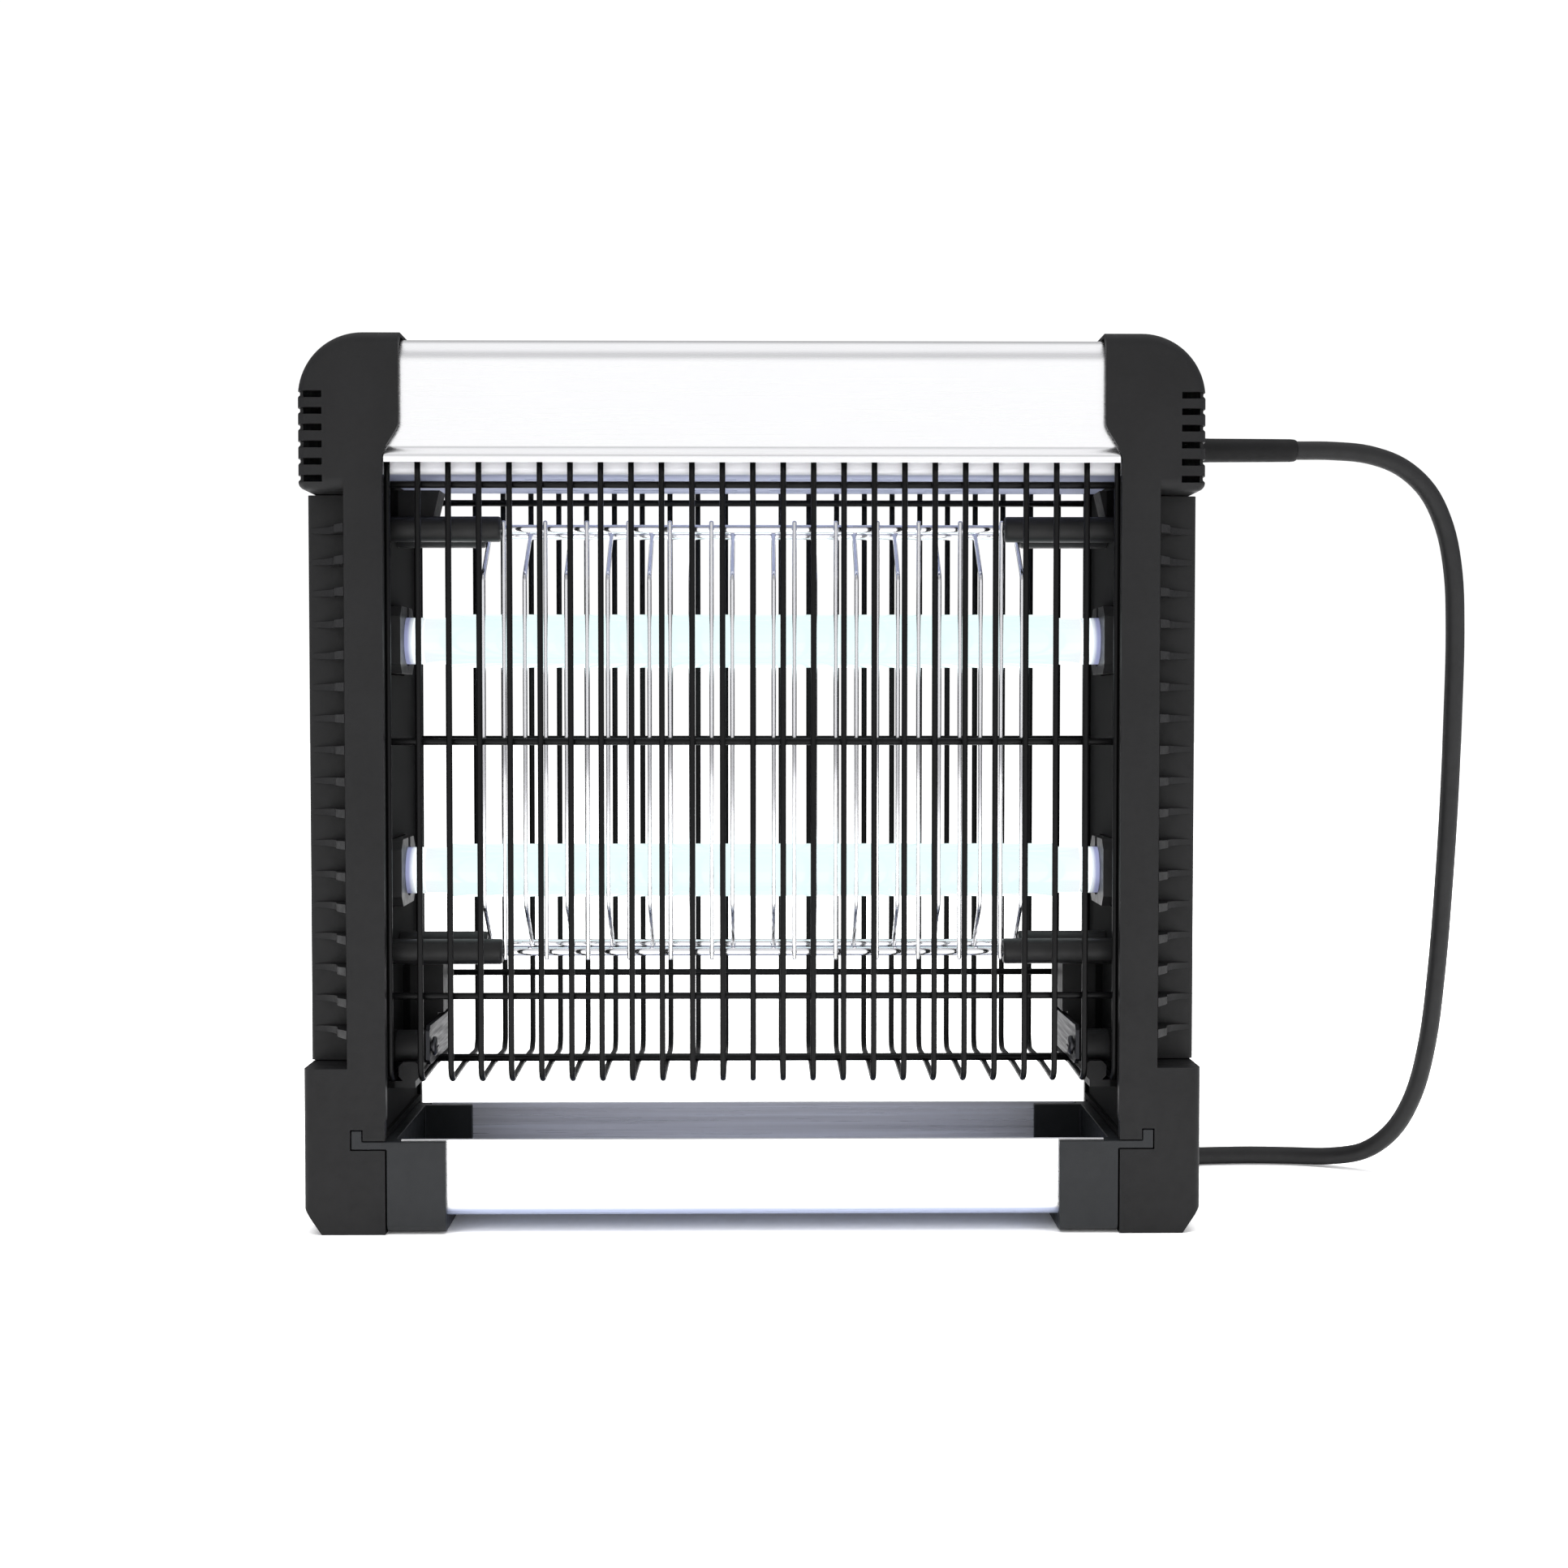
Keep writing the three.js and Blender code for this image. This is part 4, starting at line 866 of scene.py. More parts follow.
def s_curve(shift, steps=20):
    """The inner edge of a cap: an S from its straight part out to the pillar's flange."""
    points = []
    for i in range(steps + 1):
        t = i / steps
        weights = ((1 - t) ** 3, 3 * t * (1 - t) ** 2, 3 * t * t * (1 - t), t ** 3)
        xs = (CAP_INNER_X, CAP_INNER_X, FRAME_INNER_X, FRAME_INNER_X)
        x = sum(w * v for w, v in zip(weights, xs))
        z = sum(w * v for w, v in zip(weights, S_CURVE_Z))
        points.append((x + shift, z))
    return points


def cap_outline(inset, inner_x, low_corner=0.0):
    top, outer, bottom = HEIGHT - inset, HALF_W - inset, CAP_BOTTOM + inset
    radius = CAP_CORNER - inset
    low = [(outer, bottom)]
    if low_corner:
        r = max(low_corner - inset, 0.4 * mm)
        low = arc(outer - r, bottom + r, r, -90, 0, 6)
    corner = arc(outer - radius, top - radius, radius, 0, 90, 24)
    return [(inner_x, bottom)] + low + corner + [(inner_x, top)]


def cap_block():
    """The cap's outer shape, its front and rear edges rounded over."""
    rings = []
    steps = 8
    for side in (-1, 1):
        for i in range(steps + 1):
            t = math.radians(90 * (i if side < 0 else steps - i) / steps)
            inset = CAP_FILLET * (1 - math.sin(t))
            y = side * (HALF_D - CAP_FILLET * (1 - math.cos(t)))
            outline = cap_outline(inset, CAP_INNER_X - 6 * mm, CAP_LOW_CORNER)
            rings.append([(x, y, z) for x, z in outline])
    return loft(rings)


def cap_grooves():
    """Vent slots through the front and rear, which run on round the side as grooves."""
    depth, inner_x, over = 0.85 * mm, 122.6 * mm, 0.4 * mm
    tools = []
    for z in SLOT_Z:
        low, top = about(z, 0.98 * mm)
        for side in (-1, 1):
            through = sorted((side * (HALF_D - CAP_WALL - GAP), side * (HALF_D + PAST)))
            tools.append(block((inner_x, HALF_W + PAST), through, (low, top)))
        section = [
            (HALF_W - depth, top), (HALF_W + over, top), (HALF_W + over, low - 0.3 * mm), (HALF_W, low),
            (HALF_W - depth, low + 0.8 * mm),
        ]
        tools.append(prism(section, "y", -HALF_D - PAST, HALF_D + PAST))
    return tools


def cap_cuts():
    past, low, high = CAP_INNER_X - 10 * mm, CAP_BOTTOM - 10 * mm, HEIGHT + 4 * mm
    edge = [(FRAME_INNER_X, low)] + list(reversed(s_curve(0))) + [(CAP_INNER_X, high)]
    inner_edge = prism([(past, low)] + edge + [(past, high)], "y", -HALF_D - 4 * mm, HALF_D + 4 * mm)
    depth = HALF_D - CAP_WALL
    cavity = prism(cap_outline(CAP_WALL, WALL_X + WALL), "y", -depth, depth)
    low_z, top, corner = BASE_LOW.z - GAP, HEIGHT - CAP_TOP_WALL, 3.2 * mm
    opening = [
        (-depth, low_z), (depth, low_z), (depth, top - corner), (depth - corner, top),
        (corner - depth, top), (-depth, top - corner),
    ]
    mouth = prism(opening, "x", past, WALL_X + WALL + PAST)
    return [inner_edge, cavity, mouth] + cap_grooves()


def foot():
    """A block chamfered at its outer bottom edge, with its outer upright edges rounded."""
    chamfer_x, chamfer_z = FOOT_CHAMFER
    outline = [
        (FOOT_INNER_X, 0), (FOOT_OUTER_X - chamfer_x, 0), (FOOT_OUTER_X, chamfer_z),
        (FOOT_OUTER_X, FOOT_TOP), (FOOT_INNER_X, FOOT_TOP),
    ]
    r = FOOT_CORNER
    plan = (
        [(FOOT_INNER_X - PAST, -HALF_D)] + arc(FOOT_OUTER_X - r, -HALF_D + r, r, -90, 0, 8)
        + arc(FOOT_OUTER_X - r, HALF_D - r, r, 0, 90, 8) + [(FOOT_INNER_X - PAST, HALF_D)]
    )
    column = prism(plan, "z", -PAST, FOOT_TOP + PAST)
    return combined(prism(outline, "y", -HALF_D - PAST, HALF_D + PAST), [("INTERSECT", [column])])


def pillar():
    corner = arc(FRAME_INNER_X + 4 * mm, 34 * mm, 4 * mm, 180, 270, 8)
    low, high = corner[-1][1], CAP_BOTTOM + 5 * mm
    outline = corner + [(FLANGE_X, low), (FLANGE_X, high), (FRAME_INNER_X, high)]
    return prism(outline, "y", -HALF_D, HALF_D)


def rail_slots():
    """A slot for the tray's rail, open to the front, with a groove above it for the rail's hook."""
    end = CAP_HIGH.y + 1.5 * mm
    y = (-HALF_D - PAST, end)
    return [
        block((RAIL_X, CAP_HIGH.x + GAP), y, (RAIL_LOW_Z - GAP, RAIL_TOP_Z + GAP)),
        block((HOOK_X - GAP, CAP_HIGH.x + GAP), y, (RAIL_TOP_Z, CAP_HIGH.z + GAP)),
    ]


def foot_cavity():
    inner, outer, depth = FOOT_INNER_X + FOOT_WALL, FOOT_OUTER_X - FOOT_WALL, HALF_D - FOOT_WALL
    ceiling = 21.9 * mm
    outline = [
        (inner, -PAST), (outer - FOOT_CHAMFER[0], -PAST), (outer, FOOT_CHAMFER[1]), (outer, ceiling),
        (inner, ceiling),
    ]
    return prism(outline, "y", -depth, depth)


def frame_hollows():
    """The recess between the flanges, the channel behind the wall, and the ways from it to cap and foot."""
    inner_y = (-HALF_D + FOOT_WALL, HALF_D - FOOT_WALL)
    cap_y = (-HALF_D + CAP_WALL, HALF_D - CAP_WALL)
    behind_wall = WALL_X + WALL
    foot_top = FOOT_TOP - FOOT_WALL
    channel_x = FLANGE_X - FOOT_WALL
    mouth_y = 17.5 * mm
    return [
        block((WALL_X - 3 * mm, WALL_X), (-LIP_Y, LIP_Y), (29 * mm, PASSAGE_Z[1])),
        block((behind_wall, channel_x), inner_y, CHANNEL_Z),
        block((FLANGE_X - 3.6 * mm, FLANGE_X + PAST), (-mouth_y, mouth_y), (FOOT_TOP, CHANNEL_Z[1])),
        block((PASSAGE_X, FOOT_OUTER_X - FOOT_WALL), inner_y, (24.5 * mm, foot_top)),
        block((channel_x - 0.1 * mm, PASSAGE_X + PAST), inner_y, (CHANNEL_Z[0], foot_top)),
        block((FRAME_INNER_X - PAST, PASSAGE_X), cap_y, (BASE_LOW.z - GAP, PASSAGE_Z[1])),
        block((behind_wall, PASSAGE_X), (-31 * mm, 31 * mm), PASSAGE_Z),
        foot_cavity(),
        *rail_slots(),
    ]


def wall_fittings(with_gland):
    """What stands on the inner wall: two blocks, two guard rests, two screw posts and a boss.

    The top block reaches less far in on the frame with the gland.
    """
    root = WALL_X + 0.6 * mm
    reach = TOP_BLOCK_SHORT_X if with_gland else FRAME_LOW.x
    low_z, top_z = TOP_BLOCK_Z
    top = [(root, top_z), (reach, top_z), (reach + TOP_BLOCK_SLANT, low_z), (root, low_z)]
    low = [
        (root, 52.7 * mm), (root, 78 * mm), (96.4 * mm, 78 * mm), (94.7 * mm, 76.3 * mm),
        (94.7 * mm, 58.8 * mm), (96.4 * mm, 58.8 * mm), (96.4 * mm, 52.7 * mm),
    ]
    rest = eight_sided(REST_X, REST_Z, REST_CORNER)
    shapes = [prism(top, "y", *TOP_BLOCK_Y), prism(low, "y", *LOW_BLOCK_Y)]
    for side in (-1, 1):
        y = sorted(side * reached for reached in REST_Y)
        shapes.append(prism(rest, "y", *y))
        shapes.append(block((REST_X[0] + REST_CORNER, root), y, (REST_STEM_Z, REST_Z[0])))
    shapes += [rod((WALL_X + PAST, POST_END_X), 0, z, POST_R) for z in SCREW_Z]
    shapes.append(rod((BOSS_X, WALL_X + PAST), BOSS_Y, BOSS_Z, BOSS_R, 32))
    return shapes


def frame_holes(with_gland):
    holes = []
    for level in ("upper", "lower"):
        lo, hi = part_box(f"{level}_right_lampholder")
        window_x = (WALL_X - 3 * mm, WALL_X + WALL + PAST)
        holes.append(block(window_x, (lo.y - GAP, hi.y + GAP), (lo.z - GAP, hi.z + GAP)))
    holes += [rod((112 * mm, 126 * mm), 0, z, SCREW_HOLE_R) for z in SCREW_Z]
    holes.append(rod((BOSS_X - PAST, FRAME_INNER_X), BOSS_Y, BOSS_Z, SCREW_HOLE_R))
    if with_gland:
        holes.append(rod((HALF_W - 3 * mm, HALF_W + PAST), 0, CORD_Z, 4 * mm, 32))
    return holes


def end_frame(with_gland):
    return combined(cap_block(), [
        ("DIFFERENCE", cap_cuts()),
        ("UNION", [pillar(), foot()]),
        ("DIFFERENCE", frame_hollows()),
        ("UNION", wall_fittings(with_gland)),
        ("DIFFERENCE", frame_holes(with_gland)),
    ])


def end_frames():
    for side, shape in (("right", end_frame(True)), ("left", mirrored(end_frame(False)))):
        piece = rounded(new_piece(f"{side}_frame", shape), 0.32 * mm, 2)
        place(piece, "cabinet", f"{side}_end_frame")


# ---------------------------------------------------------------- louvre panels

FIN_COUNT, FIN_PITCH, FIN_FIRST_Z, FIN_HEIGHT = 17, 9.1 * mm, 57.7 * mm, 2.5 * mm


def fin(side, z):
    """A blade in the corner between flange and panel, deepest beside the flange and thinning outwards."""
    root, inner = PANEL_LOW.x, 18.6 * mm
    edge = [
        (116.9, 34.6), (118.6, 32.3), (120.1, 30.3), (120.7, 28.3),
        (120.9, 26.3), (121.8, 24.4), (123.3, 22.6), (125.6, 21.1),
    ]
    edge = [(x * mm, y * mm) for x, y in edge] + [(HALF_W - 1 * mm, 20 * mm)]
    outline = [(root, inner)] + edge + [(HALF_W - 1 * mm, inner)]
    rings = []
    for share in (-1, 1):
        ring = []
        for x, y in outline:
            thin = 1 - 0.45 * (x - root) / (HALF_W - root)
            ring.append((x, side * y, z + share * FIN_HEIGHT / 2 * thin))
        rings.append(ring)
    return loft(rings)


def louvre_panel():
    half_d = 20 * mm
    z0, z1 = PANEL_LOW.z, PANEL_HIGH.z
    corner = 1.2 * mm
    outline = (
        [(PANEL_LOW.x, -half_d)] + arc(HALF_W - corner, -half_d + corner, corner, -90, 0, 5)
        + arc(HALF_W - corner, half_d - corner, corner, 0, 90, 5) + [(PANEL_LOW.x, half_d)]
    )
    hollow = block((115 * mm, HALF_W - WALL), (-half_d + 2 * mm, half_d - 2 * mm), (z0 - PAST, z1 + PAST))
    heights = [FIN_FIRST_Z + i * FIN_PITCH for i in range(FIN_COUNT)]
    fins = [fin(side, z) for z in heights for side in (-1, 1)]
    pads = [rod((125 * mm, HALF_W - PAST), 0, z, 6 * mm, 32) for z in SCREW_Z]
    holes = [rod((124 * mm, 130 * mm), 0, z, SCREW_HOLE_R) for z in SCREW_Z]
    holes += [rod((HALF_W - 2.1 * mm, 130 * mm), 0, z, 3.4 * mm, 32) for z in SCREW_Z]
    lines = [
        block((HALF_W - 0.5 * mm, HALF_W + PAST), (-14 * mm, 14 * mm), (z - 0.6 * mm, z + 0.6 * mm))
        for z in heights if min(abs(z - s) for s in SCREW_Z) > 5 * mm
    ]
    return combined(prism(outline, "z", z0, z1), [
        ("DIFFERENCE", [hollow]), ("UNION", fins + pads), ("DIFFERENCE", holes + lines),
    ])


def louvre_panels():
    right = louvre_panel()
    left = mirrored(right)
    for side, shape in (("right", right), ("left", left)):
        piece = rounded(new_piece(f"{side}_panel", shape), 0.2 * mm, 2)
        place(piece, "cabinet", f"{side}_louvre_panel")


# ---------------------------------------------------------------- screws

def screw_shape(node):
    """A pan head screw along X, with a cross recess. The thicker end of its box is the head."""
    lo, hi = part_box(node)
    y, z, radius = (lo.y + hi.y) / 2, (lo.z + hi.z) / 2, (hi.z - lo.z) / 2
    to_right = (lo.x > 0) == node.endswith(("lower", "upper"))
    head, tip = (hi.x, lo.x) if to_right else (lo.x, hi.x)
    way = 1 if to_right else -1
    height, shank = 1.5 * mm, 1.4 * mm
    profile = [(0, tip), (0.5 * mm, tip), (shank, tip + way * 1.2 * mm)]
    x = tip + way * 1.6 * mm
    while abs(head - x) > height + 1.4 * mm:
        profile += [(shank, x), (shank - 0.28 * mm, x + way * 0.3 * mm), (shank, x + way * 0.6 * mm)]
        x += way * 0.7 * mm
    profile += [(shank, head - way * height), (radius - 0.1 * mm, head - way * height)]
    profile += [(radius, head - way * (height - 0.25 * mm)), (radius, head - way * 0.75 * mm)]
    profile += [(radius * 0.86, head - way * 0.3 * mm), (radius * 0.55, head - way * 0.06 * mm)]
    profile += [(0.2 * mm, head), (0, head)]
    slot_x = sorted((head - way * 0.85 * mm, head + way * PAST))
    arm, half = radius * 0.55, 0.3 * mm
    cross = [block(slot_x, about(y, a), about(z, b)) for a, b in ((arm, half), (half, arm))]
    return combined(turned(profile, 28, y, z), [("DIFFERENCE", cross)])


def screws():
    for side in ("right", "left"):
        for node in (f"{side}_panel_screw_lower", f"{side}_panel_screw_upper", f"{side}_plate_screw"):
            piece = smooth(new_piece(node.replace("screw", "fastener"), screw_shape(node)), 35)
            place(piece, "cabinet", node)


# ---------------------------------------------------------------- hood and what is under it

HOOD_WALL = 1.5 * mm
HOOD_FACE_Y = 33.5 * mm
HOOD_CORNER = 7.4 * mm
LIP_TOP_Z, FACE_FOOT_Z = 223.2 * mm, 226.6 * mm


def hood_half(inset):
    """Half of the hood's section: a lip, an S out of it to the flat face, and a round top corner."""
    lip, face = HOOD_HIGH.y - inset, HOOD_FACE_Y - inset
    radius = HOOD_CORNER - inset
    points = [(lip, HOOD_LOW.z)]
    steps = 12
    for i in range(steps + 1):
        t = i / steps
        ease = t * t * (3 - 2 * t)
        points.append((lip + (face - lip) * ease, LIP_TOP_Z + (FACE_FOOT_Z - LIP_TOP_Z) * t))
    return points + arc(HOOD_FACE_Y - HOOD_CORNER, HOOD_HIGH.z - HOOD_CORNER, radius, 0, 90, 16)


def hood():
    def flipped(points):
        return [(-y, z) for y, z in reversed(points)]

    outer, inner = hood_half(0), hood_half(HOOD_WALL)
    section = outer + flipped(outer) + list(reversed(flipped(inner))) + list(reversed(inner))
    trim = s_curve(-GAP) + [(108 * mm, 221 * mm), (108 * mm, S_CURVE_Z[0])]
    trims = [
        prism(trim, "y", -40 * mm, -HOOD_FACE_Y),
        prism(trim, "y", HOOD_FACE_Y, 40 * mm),
    ]
    trims += [mirrored(shape) for shape in trims]
    shape = combined(prism(section, "x", HOOD_LOW.x, HOOD_HIGH.x), [("DIFFERENCE", trims)])
    place(rounded(new_piece("hood_shell", shape), 0.25 * mm, 2, 40), "cabinet", "hood")


def base_plate():
    """A folded plate that closes the hood from below, with a row of cooling slots along each side."""
    t = 1.2 * mm
    r = 1.6 * mm
    y, z = BASE_HIGH.y - t / 2, BASE_LOW.z + t / 2
    line = arc(-y + r, z + r, r, 180, 270, 5) + arc(y - r, z + r, r, 270, 360, 5)
    line = [(-y, BASE_HIGH.z)] + line + [(y, BASE_HIGH.z)]
    slots = []
    for x in range(-60, 61, 24):
        for side in (-1, 1):
            z_span = (BASE_LOW.z - PAST, BASE_LOW.z + 2 * mm)
            slots.append(block(about(x * mm, 7 * mm), about(side * 16 * mm, 1.1 * mm), z_span))
    shape = combined(prism(strip(line, t), "x", BASE_LOW.x, BASE_HIGH.x), [("DIFFERENCE", slots)])
    place(rounded(new_piece("base_plate", shape), 0.18 * mm, 2, 40), "cabinet", "hood_base_plate")


def refined(node, width):
    """A piece with the CAD node's own shape, its flats cleaned up and its edges rounded."""
    bm = bmesh.new()
    bm.from_mesh(frame["nodes"][node].data)
    tidy(bm)
    piece = rounded(new_piece(f"{node}_detail", bm), width)
    return place(piece, frame["nodes"][node]["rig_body"], node)


def electronics():
    for node in ("circuit_board", "high_voltage_transformer", "terminal_block", "ballast"):
        refined(node, 0.25 * mm)
    for number in (1, 2):
        lo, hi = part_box(f"capacitor_{number}")
        x, y, r = (lo.x + hi.x) / 2, (lo.y + hi.y) / 2, (hi.x - lo.x) / 2
        steps = [(0, 0.94), (0.03, 1), (0.1, 1), (0.12, 0.95), (0.15, 1), (0.95, 1), (1, 0.93)]
        tall = hi.z - lo.z
        rings = [[(x, y, lo.z + tall * h) for x, y in arc(x, y, r * s, 0, 352.5, 47)] for h, s in steps]
        place(smooth(new_piece(f"electrolytic_{number}", loft(rings))), "cabinet", f"capacitor_{number}")


# ---------------------------------------------------------------- lamps and lampholders

GLASS_NECK_X = 98.4 * mm


def lamp_glass(level):
    """The lit tube: full width along most of its length, and a narrower neck into each cap."""
    lo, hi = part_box(f"{level}_lamp_glass")
    z, r = (lo.z + hi.z) / 2, (hi.z - lo.z) / 2
    neck = r - 0.98 * mm
    half = [
        (r, 0), (r, hi.x - 1.3 * mm), (r - 0.12 * mm, hi.x - 0.6 * mm), (r - 0.5 * mm, hi.x),
        (neck, hi.x + 0.5 * mm), (neck, GLASS_NECK_X),
    ]
    profile = [(radius, -x) for radius, x in reversed(half[1:])] + half
    profile = [(0, -GLASS_NECK_X)] + profile + [(0, GLASS_NECK_X)]
    piece = smooth(new_piece(f"{level}_tube", turned(profile, 48, 0, z)))
    place(piece, f"{level}_lamp", f"{level}_lamp_glass")


def lamp_cap(level):
    """A rolled metal cap, crimped behind the glass, with its two pins."""
    lo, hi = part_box(f"{level}_right_lamp_cap")
    z, r = (lo.z + hi.z) / 2, (hi.z - lo.z) / 2
    start, end = GLASS_NECK_X + 0.15 * mm, 106 * mm
    profile = [
        (0, start), (r - 0.15 * mm, start), (r, start + 0.3 * mm),
        (r, 100.6 * mm), (r - 0.3 * mm, 100.9 * mm), (r - 0.3 * mm, 101.4 * mm), (r, 101.7 * mm),
        (r, end - 1.4 * mm), (r - 0.25 * mm, end - 0.5 * mm), (r - 1 * mm, end), (0, end),
    ]
    pin_r = 1.15 * mm
    pins = []
    for side in (-1, 1):
        shape = [(0, end - PAST), (pin_r, end - PAST), (pin_r, hi.x - 0.7 * mm)]
        shape += [(pin_r * 0.75, hi.x - 0.2 * mm), (pin_r * 0.4, hi.x), (0, hi.x)]
        pins.append(turned(shape, 16, side * PIN_Y, z))
    return merged(turned(profile, 40, 0, z), *pins)


def rotor(level):
    """The turning insert of a lampholder, with holes for the pins and a slot across its face."""
    lo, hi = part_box(f"{level}_right_rotor")
    z, r = (lo.z + hi.z) / 2, (hi.z - lo.z) / 2
    holes = [rod((lo.x - PAST, hi.x + PAST), side * PIN_Y, z, 1.5 * mm) for side in (-1, 1)]
    slot = block((lo.x - PAST, lo.x + 0.9 * mm), (-1.1 * mm, 1.1 * mm), (z - r - PAST, z + r + PAST))
    return combined(rod((lo.x, hi.x), 0, z, r, 40), [("DIFFERENCE", holes + [slot])])


def lampholder(level):
    lo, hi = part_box(f"{level}_right_lampholder")
    z = (lo.z + hi.z) / 2
    outline = eight_sided((lo.y, hi.y), (lo.z, hi.z), 3 * mm)
    recess = [
        rod((lo.x - PAST, lo.x + 2.3 * mm), 0, z, 7.6 * mm, 48),
        rod((lo.x - PAST, hi.x - 2 * mm), 0, z, 6.5 * mm, 48),
        block((lo.x - PAST, lo.x + 2.3 * mm), (-2 * mm, 2 * mm), (z, hi.z + PAST)),
    ]
    return combined(prism(outline, "x", lo.x, hi.x), [("DIFFERENCE", recess)])


def lamps():
    for level in ("upper", "lower"):
        body = f"{level}_lamp"
        lamp_glass(level)
        for name, make, rides, edge in (
            ("lamp_cap", lamp_cap, body, 0),
            ("rotor", rotor, body, 0.2 * mm),
            ("lampholder", lampholder, "cabinet", 0.35 * mm),
        ):
            for side, shape in pair(make(level)):
                piece = new_piece(f"{level}_{side}_{name}_detail", shape)
                piece = rounded(piece, edge) if edge else smooth(piece)
                place(piece, rides, f"{level}_{side}_{name}")


# ---------------------------------------------------------------- high voltage grid

GRID_PITCH = 12.15 * mm
GRID_WIRE_R = 0.66 * mm
GRID_ROD_R = 1.3 * mm
GRID_Y = -19 * mm
FRONT_ROD_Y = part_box("front_insulator_lower_right")[0].y + 3.75 * mm


def evenly(count, pitch):
    return [(i - (count - 1) / 2) * pitch for i in range(count)]


def middle_z(node):
    lo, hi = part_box(node)
    return (lo.z + hi.z) / 2


def bent_line(points, radius, steps=6):
    """A line with its inner corners rounded to a radius."""
    line = [Vector(points[0])]
    for before, corner, after in zip(points, points[1:], points[2:]):
        corner, into, out = Vector(corner), Vector(before) - Vector(corner), Vector(after) - Vector(corner)
        into.normalize()
        out.normalize()
        half = into.angle(out) / 2
        reach = radius / math.tan(half)
        centre = corner + (into + out).normalized() * (radius / math.sin(half))
        start, end = corner + into * reach - centre, corner + out * reach - centre
        for i in range(steps + 1):
            line.append(centre + start.slerp(end, i / steps).normalized() * radius)
    return line + [Vector(points[-1])]


def grid_rods(row, half_length):
    y = FRONT_ROD_Y if row == "front" else 0
    heights = [middle_z(f"{row}_insulator_{level}_right") for level in ("lower", "upper")]
    rods = [tube([(-half_length, y, z), (0, y, z), (half_length, y, z)], GRID_ROD_R, 20) for z in heights]
    return rods, y, heights


def front_grid():
    lo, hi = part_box("front_grid_wires")
    parts, y, heights = grid_rods("front", hi.x)
    for x in evenly(13, GRID_PITCH):
        wire = [(x, GRID_Y, z) for z in (lo.z, (lo.z + hi.z) / 2, hi.z)]
        parts.append(tube(wire, GRID_WIRE_R, 14, 0.5 * mm))
        parts += [weld(x, (y + GRID_Y) / 2 - 0.2 * mm, z, (1.0 * mm, 0.7 * mm, 0.85 * mm)) for z in heights]
    place(smooth(new_piece("front_grid", merged(*parts)), 50), "cabinet", "front_grid_wires")


def bent_grid():
    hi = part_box("bent_grid_wires")[1]
    parts, y, heights = grid_rods("mid", hi.x)
    low, high = 93.7 * mm, 190.3 * mm
    back = y - 1.2 * mm
    for x in evenly(14, GRID_PITCH):
        corners = [(x, back, heights[0] - 0.4 * mm), (x, GRID_Y, low)]
        corners += [(x, GRID_Y, high), (x, back, heights[1] + 0.4 * mm)]
        parts.append(tube(bent_line(corners, 4 * mm), GRID_WIRE_R, 14, 0.4 * mm))
        parts += [weld(x, back, z, (0.95 * mm, 0.9 * mm, 0.8 * mm)) for z in heights]
    place(smooth(new_piece("bent_grid", merged(*parts)), 50), "cabinet", "bent_grid_wires")


def insulator(row, level):
    """A post with a rounded nose, a foot at the wall and a bore that holds the rod's end."""
    lo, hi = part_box(f"{row}_insulator_{level}_right")
    y, z, r = (lo.y + hi.y) / 2, (lo.z + hi.z) / 2, (hi.z - lo.z) / 2
    bore, depth = GRID_ROD_R + 0.25 * mm, 13 * mm
    nose = arc(0, 0, 0.9 * mm, 180, 90, 5)
    profile = [(0, lo.x + depth), (bore, lo.x + depth), (bore, lo.x + 0.3 * mm), (bore + 0.3 * mm, lo.x)]
    profile += [(r - 0.9 * mm + b, lo.x + 0.9 * mm + a) for a, b in nose]
    profile += [(r, hi.x), (0, hi.x)]
    return turned(profile, 40, y, z)


def insulators():
    for row in ("front", "mid"):
        for level in ("lower", "upper"):
            for side, shape in pair(insulator(row, level)):
                piece = smooth(new_piece(f"{row}_{level}_{side}_post", shape), 35)
                place(piece, "cabinet", f"{row}_insulator_{level}_{side}")


# ---------------------------------------------------------------- guards

GUARD_PITCH = 8.75 * mm
GUARD_WIRE_R = 0.86 * mm
GUARD_BAR_R = 1.0 * mm
GUARD_BEND = 4.6 * mm


def guard(node, side):
    """Wires bent to an L, welded to three bars behind them and to one along their lower ends."""
    lo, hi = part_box(node)
    y = side * 30.35 * mm
    bar_y = side * 28.7 * mm
    floor_z = lo.z + 0.62 * mm
    bar_heights = [68.2 * mm, 142 * mm, 216 * mm]
    parts = []
    for z in bar_heights:
        parts.append(tube([(x, bar_y, z) for x in (lo.x, 0, hi.x)], GUARD_BAR_R, 14, 0.4 * mm))
    end_x, end_y, end_z = 105.7 * mm, side * 1.3 * mm, 45.7 * mm
    parts.append(tube([(x, end_y, end_z) for x in (-end_x, 0, end_x)], 0.95 * mm, 14, 0.4 * mm))
    for x in evenly(25, GUARD_PITCH):
        corners = [(x, y, hi.z), (x, y, floor_z), (x, side * 0.5 * mm, floor_z + 0.8 * mm)]
        parts.append(tube(bent_line(corners, GUARD_BEND, 9), GUARD_WIRE_R, 12, 0.4 * mm))
        parts += [weld(x, side * 29.5 * mm, z, (0.95 * mm, 0.6 * mm, 1.0 * mm)) for z in bar_heights]
    return merged(*parts)


def guards():
    for node, side in (("front_guard", -1), ("rear_guard", 1)):
        place(smooth(new_piece(f"{node}_wirework", guard(node, side)), 50), "cabinet", node)


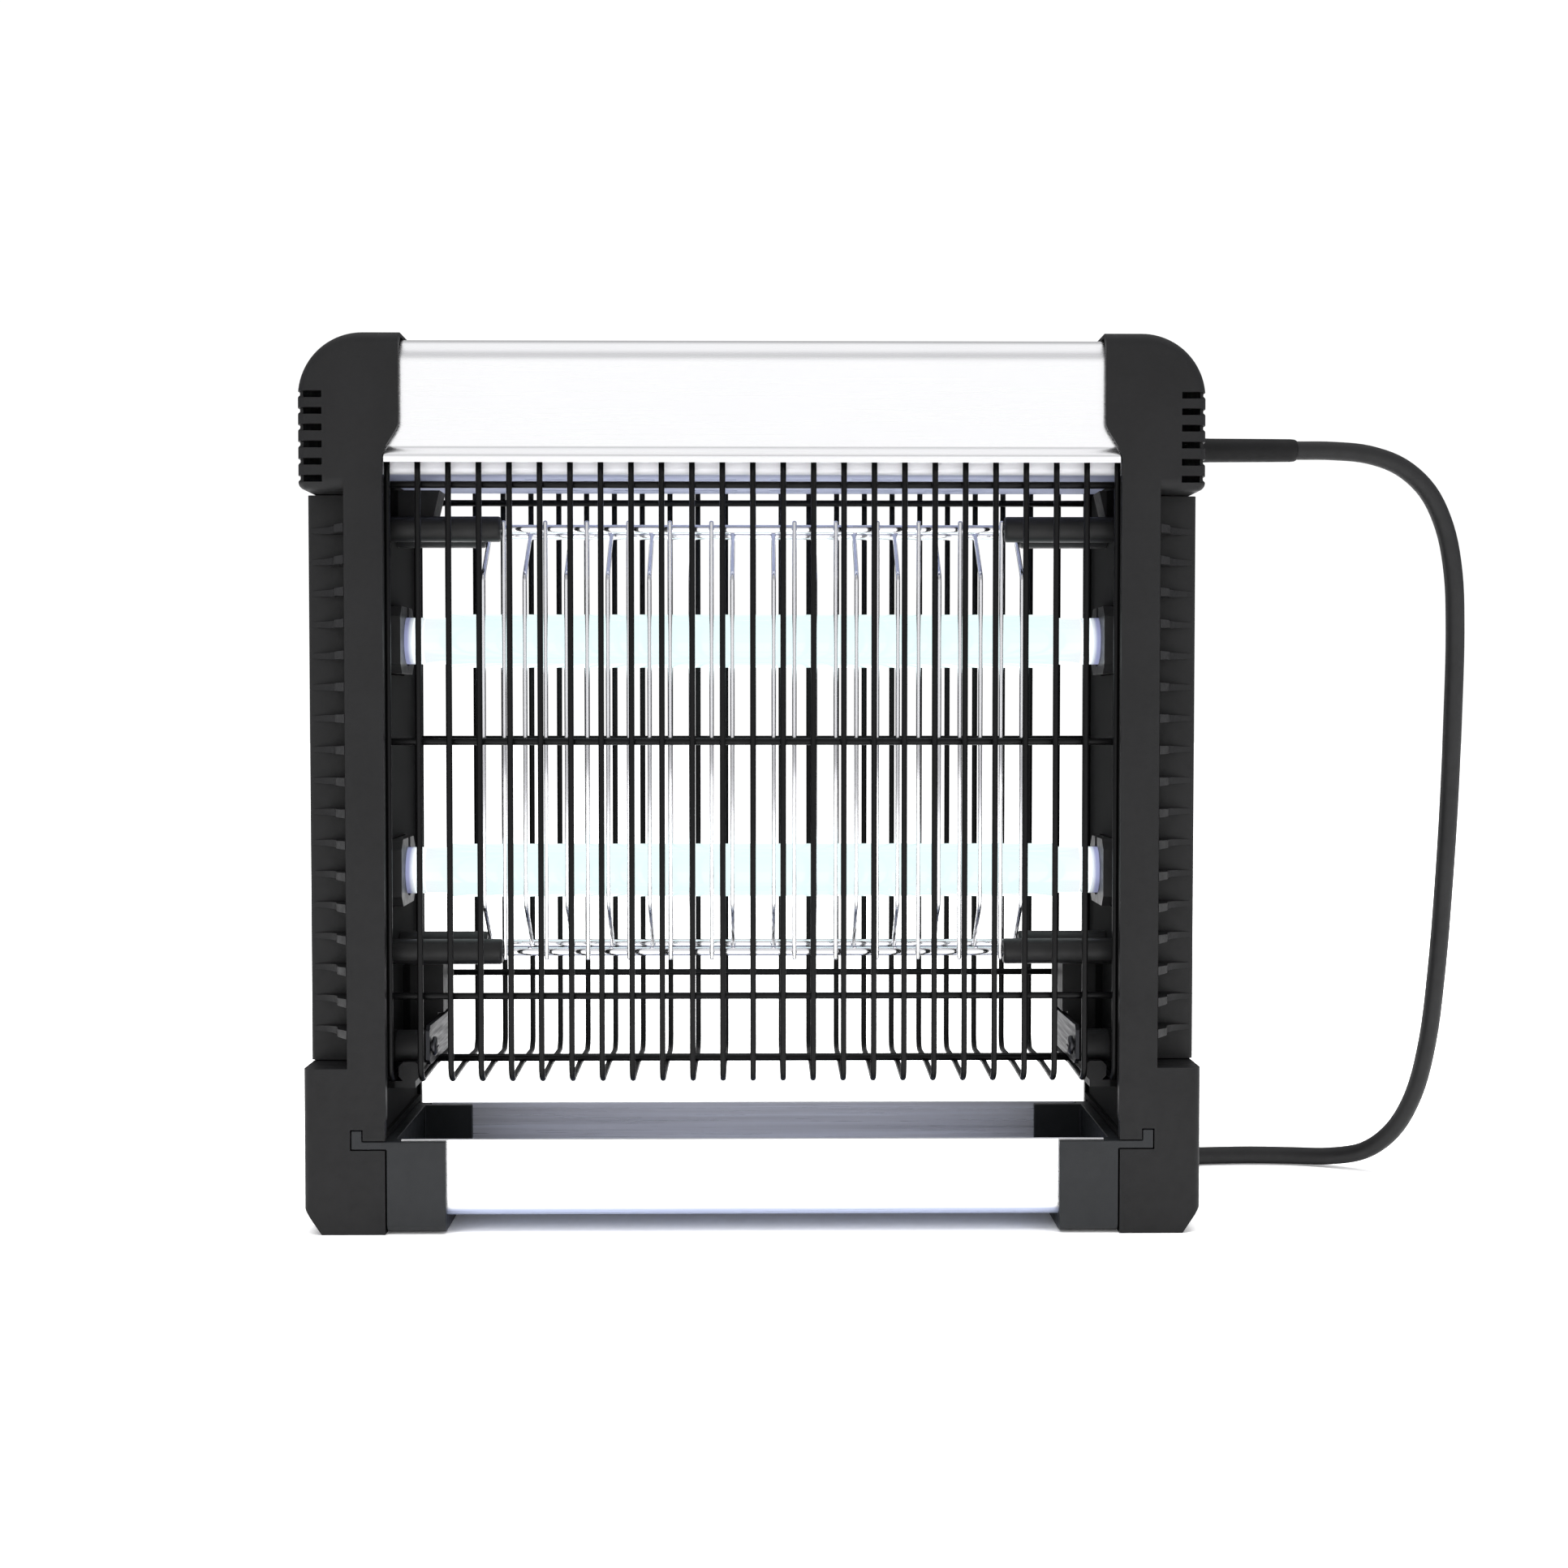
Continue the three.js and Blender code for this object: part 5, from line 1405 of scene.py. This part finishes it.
def guard_plates():
    lo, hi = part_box("right_guard_plate")
    y0, y1, z0, z1 = lo.y, hi.y, lo.z, hi.z
    outline = [
        (y0, z0 + 2.2 * mm), (y0 + 2.5 * mm, z0 + 0.6 * mm), (y1, z0),
        (y1, z1 - 1 * mm), (y0 + 1.5 * mm, z1), (y0, z1 - 1.4 * mm),
    ]
    hole = rod((lo.x - PAST, hi.x + PAST), BOSS_Y, BOSS_Z, SCREW_HOLE_R)
    right = combined(prism(outline, "x", lo.x, hi.x), [("DIFFERENCE", [hole])])
    for side, shape in pair(right):
        place(rounded(new_piece(f"{side}_strip", shape), 0.18 * mm), "cabinet", f"{side}_guard_plate")


# ---------------------------------------------------------------- catch tray

TRAY_T = 1.2 * mm
TRAY_FRONT_BEND, TRAY_REAR_BEND = 3.8 * mm, 1.3 * mm


def tray_line(top):
    y0, y1 = TRAY_LOW.y + TRAY_T / 2, TRAY_HIGH.y - TRAY_T / 2
    z = TRAY_LOW.z + TRAY_T / 2
    front = arc(y0 + TRAY_FRONT_BEND, z + TRAY_FRONT_BEND, TRAY_FRONT_BEND, 180, 270, 10)
    rear = arc(y1 - TRAY_REAR_BEND, z + TRAY_REAR_BEND, TRAY_REAR_BEND, 270, 360, 10)
    return [(y0, top)] + front + rear + [(y1, top)]


def tray_channel():
    shape = prism(strip(tray_line(TRAY_HIGH.z), TRAY_T), "x", TRAY_LOW.x, TRAY_HIGH.x)
    place(rounded(new_piece("tray_trough", shape), 0.2 * mm, 3, 40), "tray", "tray_channel")


def tray_cap():
    """A moulded sleeve round the trough's end, its lower edges rounded, with a hooked rail."""
    y0, y1, z0 = CAP_LOW.y, CAP_HIGH.y, CAP_LOW.z
    r = 2.6 * mm
    outline = arc(y0 + r, z0 + r, r, 180, 270, 7) + arc(y1 - r, z0 + r, r, 270, 360, 7)
    outline = [(y0, RAIL_TOP_Z)] + outline + [(y1, RAIL_TOP_Z)]
    sleeve_x = (CAP_LOW.x, 105.5 * mm)
    rail = block((RAIL_X, CAP_HIGH.x), (y0, y1), (RAIL_LOW_Z, RAIL_TOP_Z))
    hook = block((HOOK_X, CAP_HIGH.x), (y0, y1), (RAIL_LOW_Z, CAP_HIGH.z))
    groove = prism(strip(tray_line(30 * mm), TRAY_T + 2 * GAP), "x", 80 * mm, TRAY_HIGH.x + GAP)
    inside_y = (TRAY_LOW.y + 3.6 * mm, TRAY_HIGH.y - 3.6 * mm)
    inside = block((80 * mm, sleeve_x[1] - 2.3 * mm), inside_y, (8.4 * mm, 30 * mm))
    sleeve = prism(outline, "x", *sleeve_x)
    return combined(sleeve, [("UNION", [rail, hook]), ("DIFFERENCE", [groove, inside])])


def tray():
    tray_channel()
    for side, shape in pair(tray_cap()):
        place(rounded(new_piece(f"tray_{side}_sleeve", shape), 0.3 * mm), "tray", f"tray_{side}_cap")


end_frames()
louvre_panels()
screws()
hood()
base_plate()
electronics()
lamps()
front_grid()
bent_grid()
insulators()
guards()
guard_plates()
tray()

bpy.context.scene.view_settings.view_transform = "Standard"
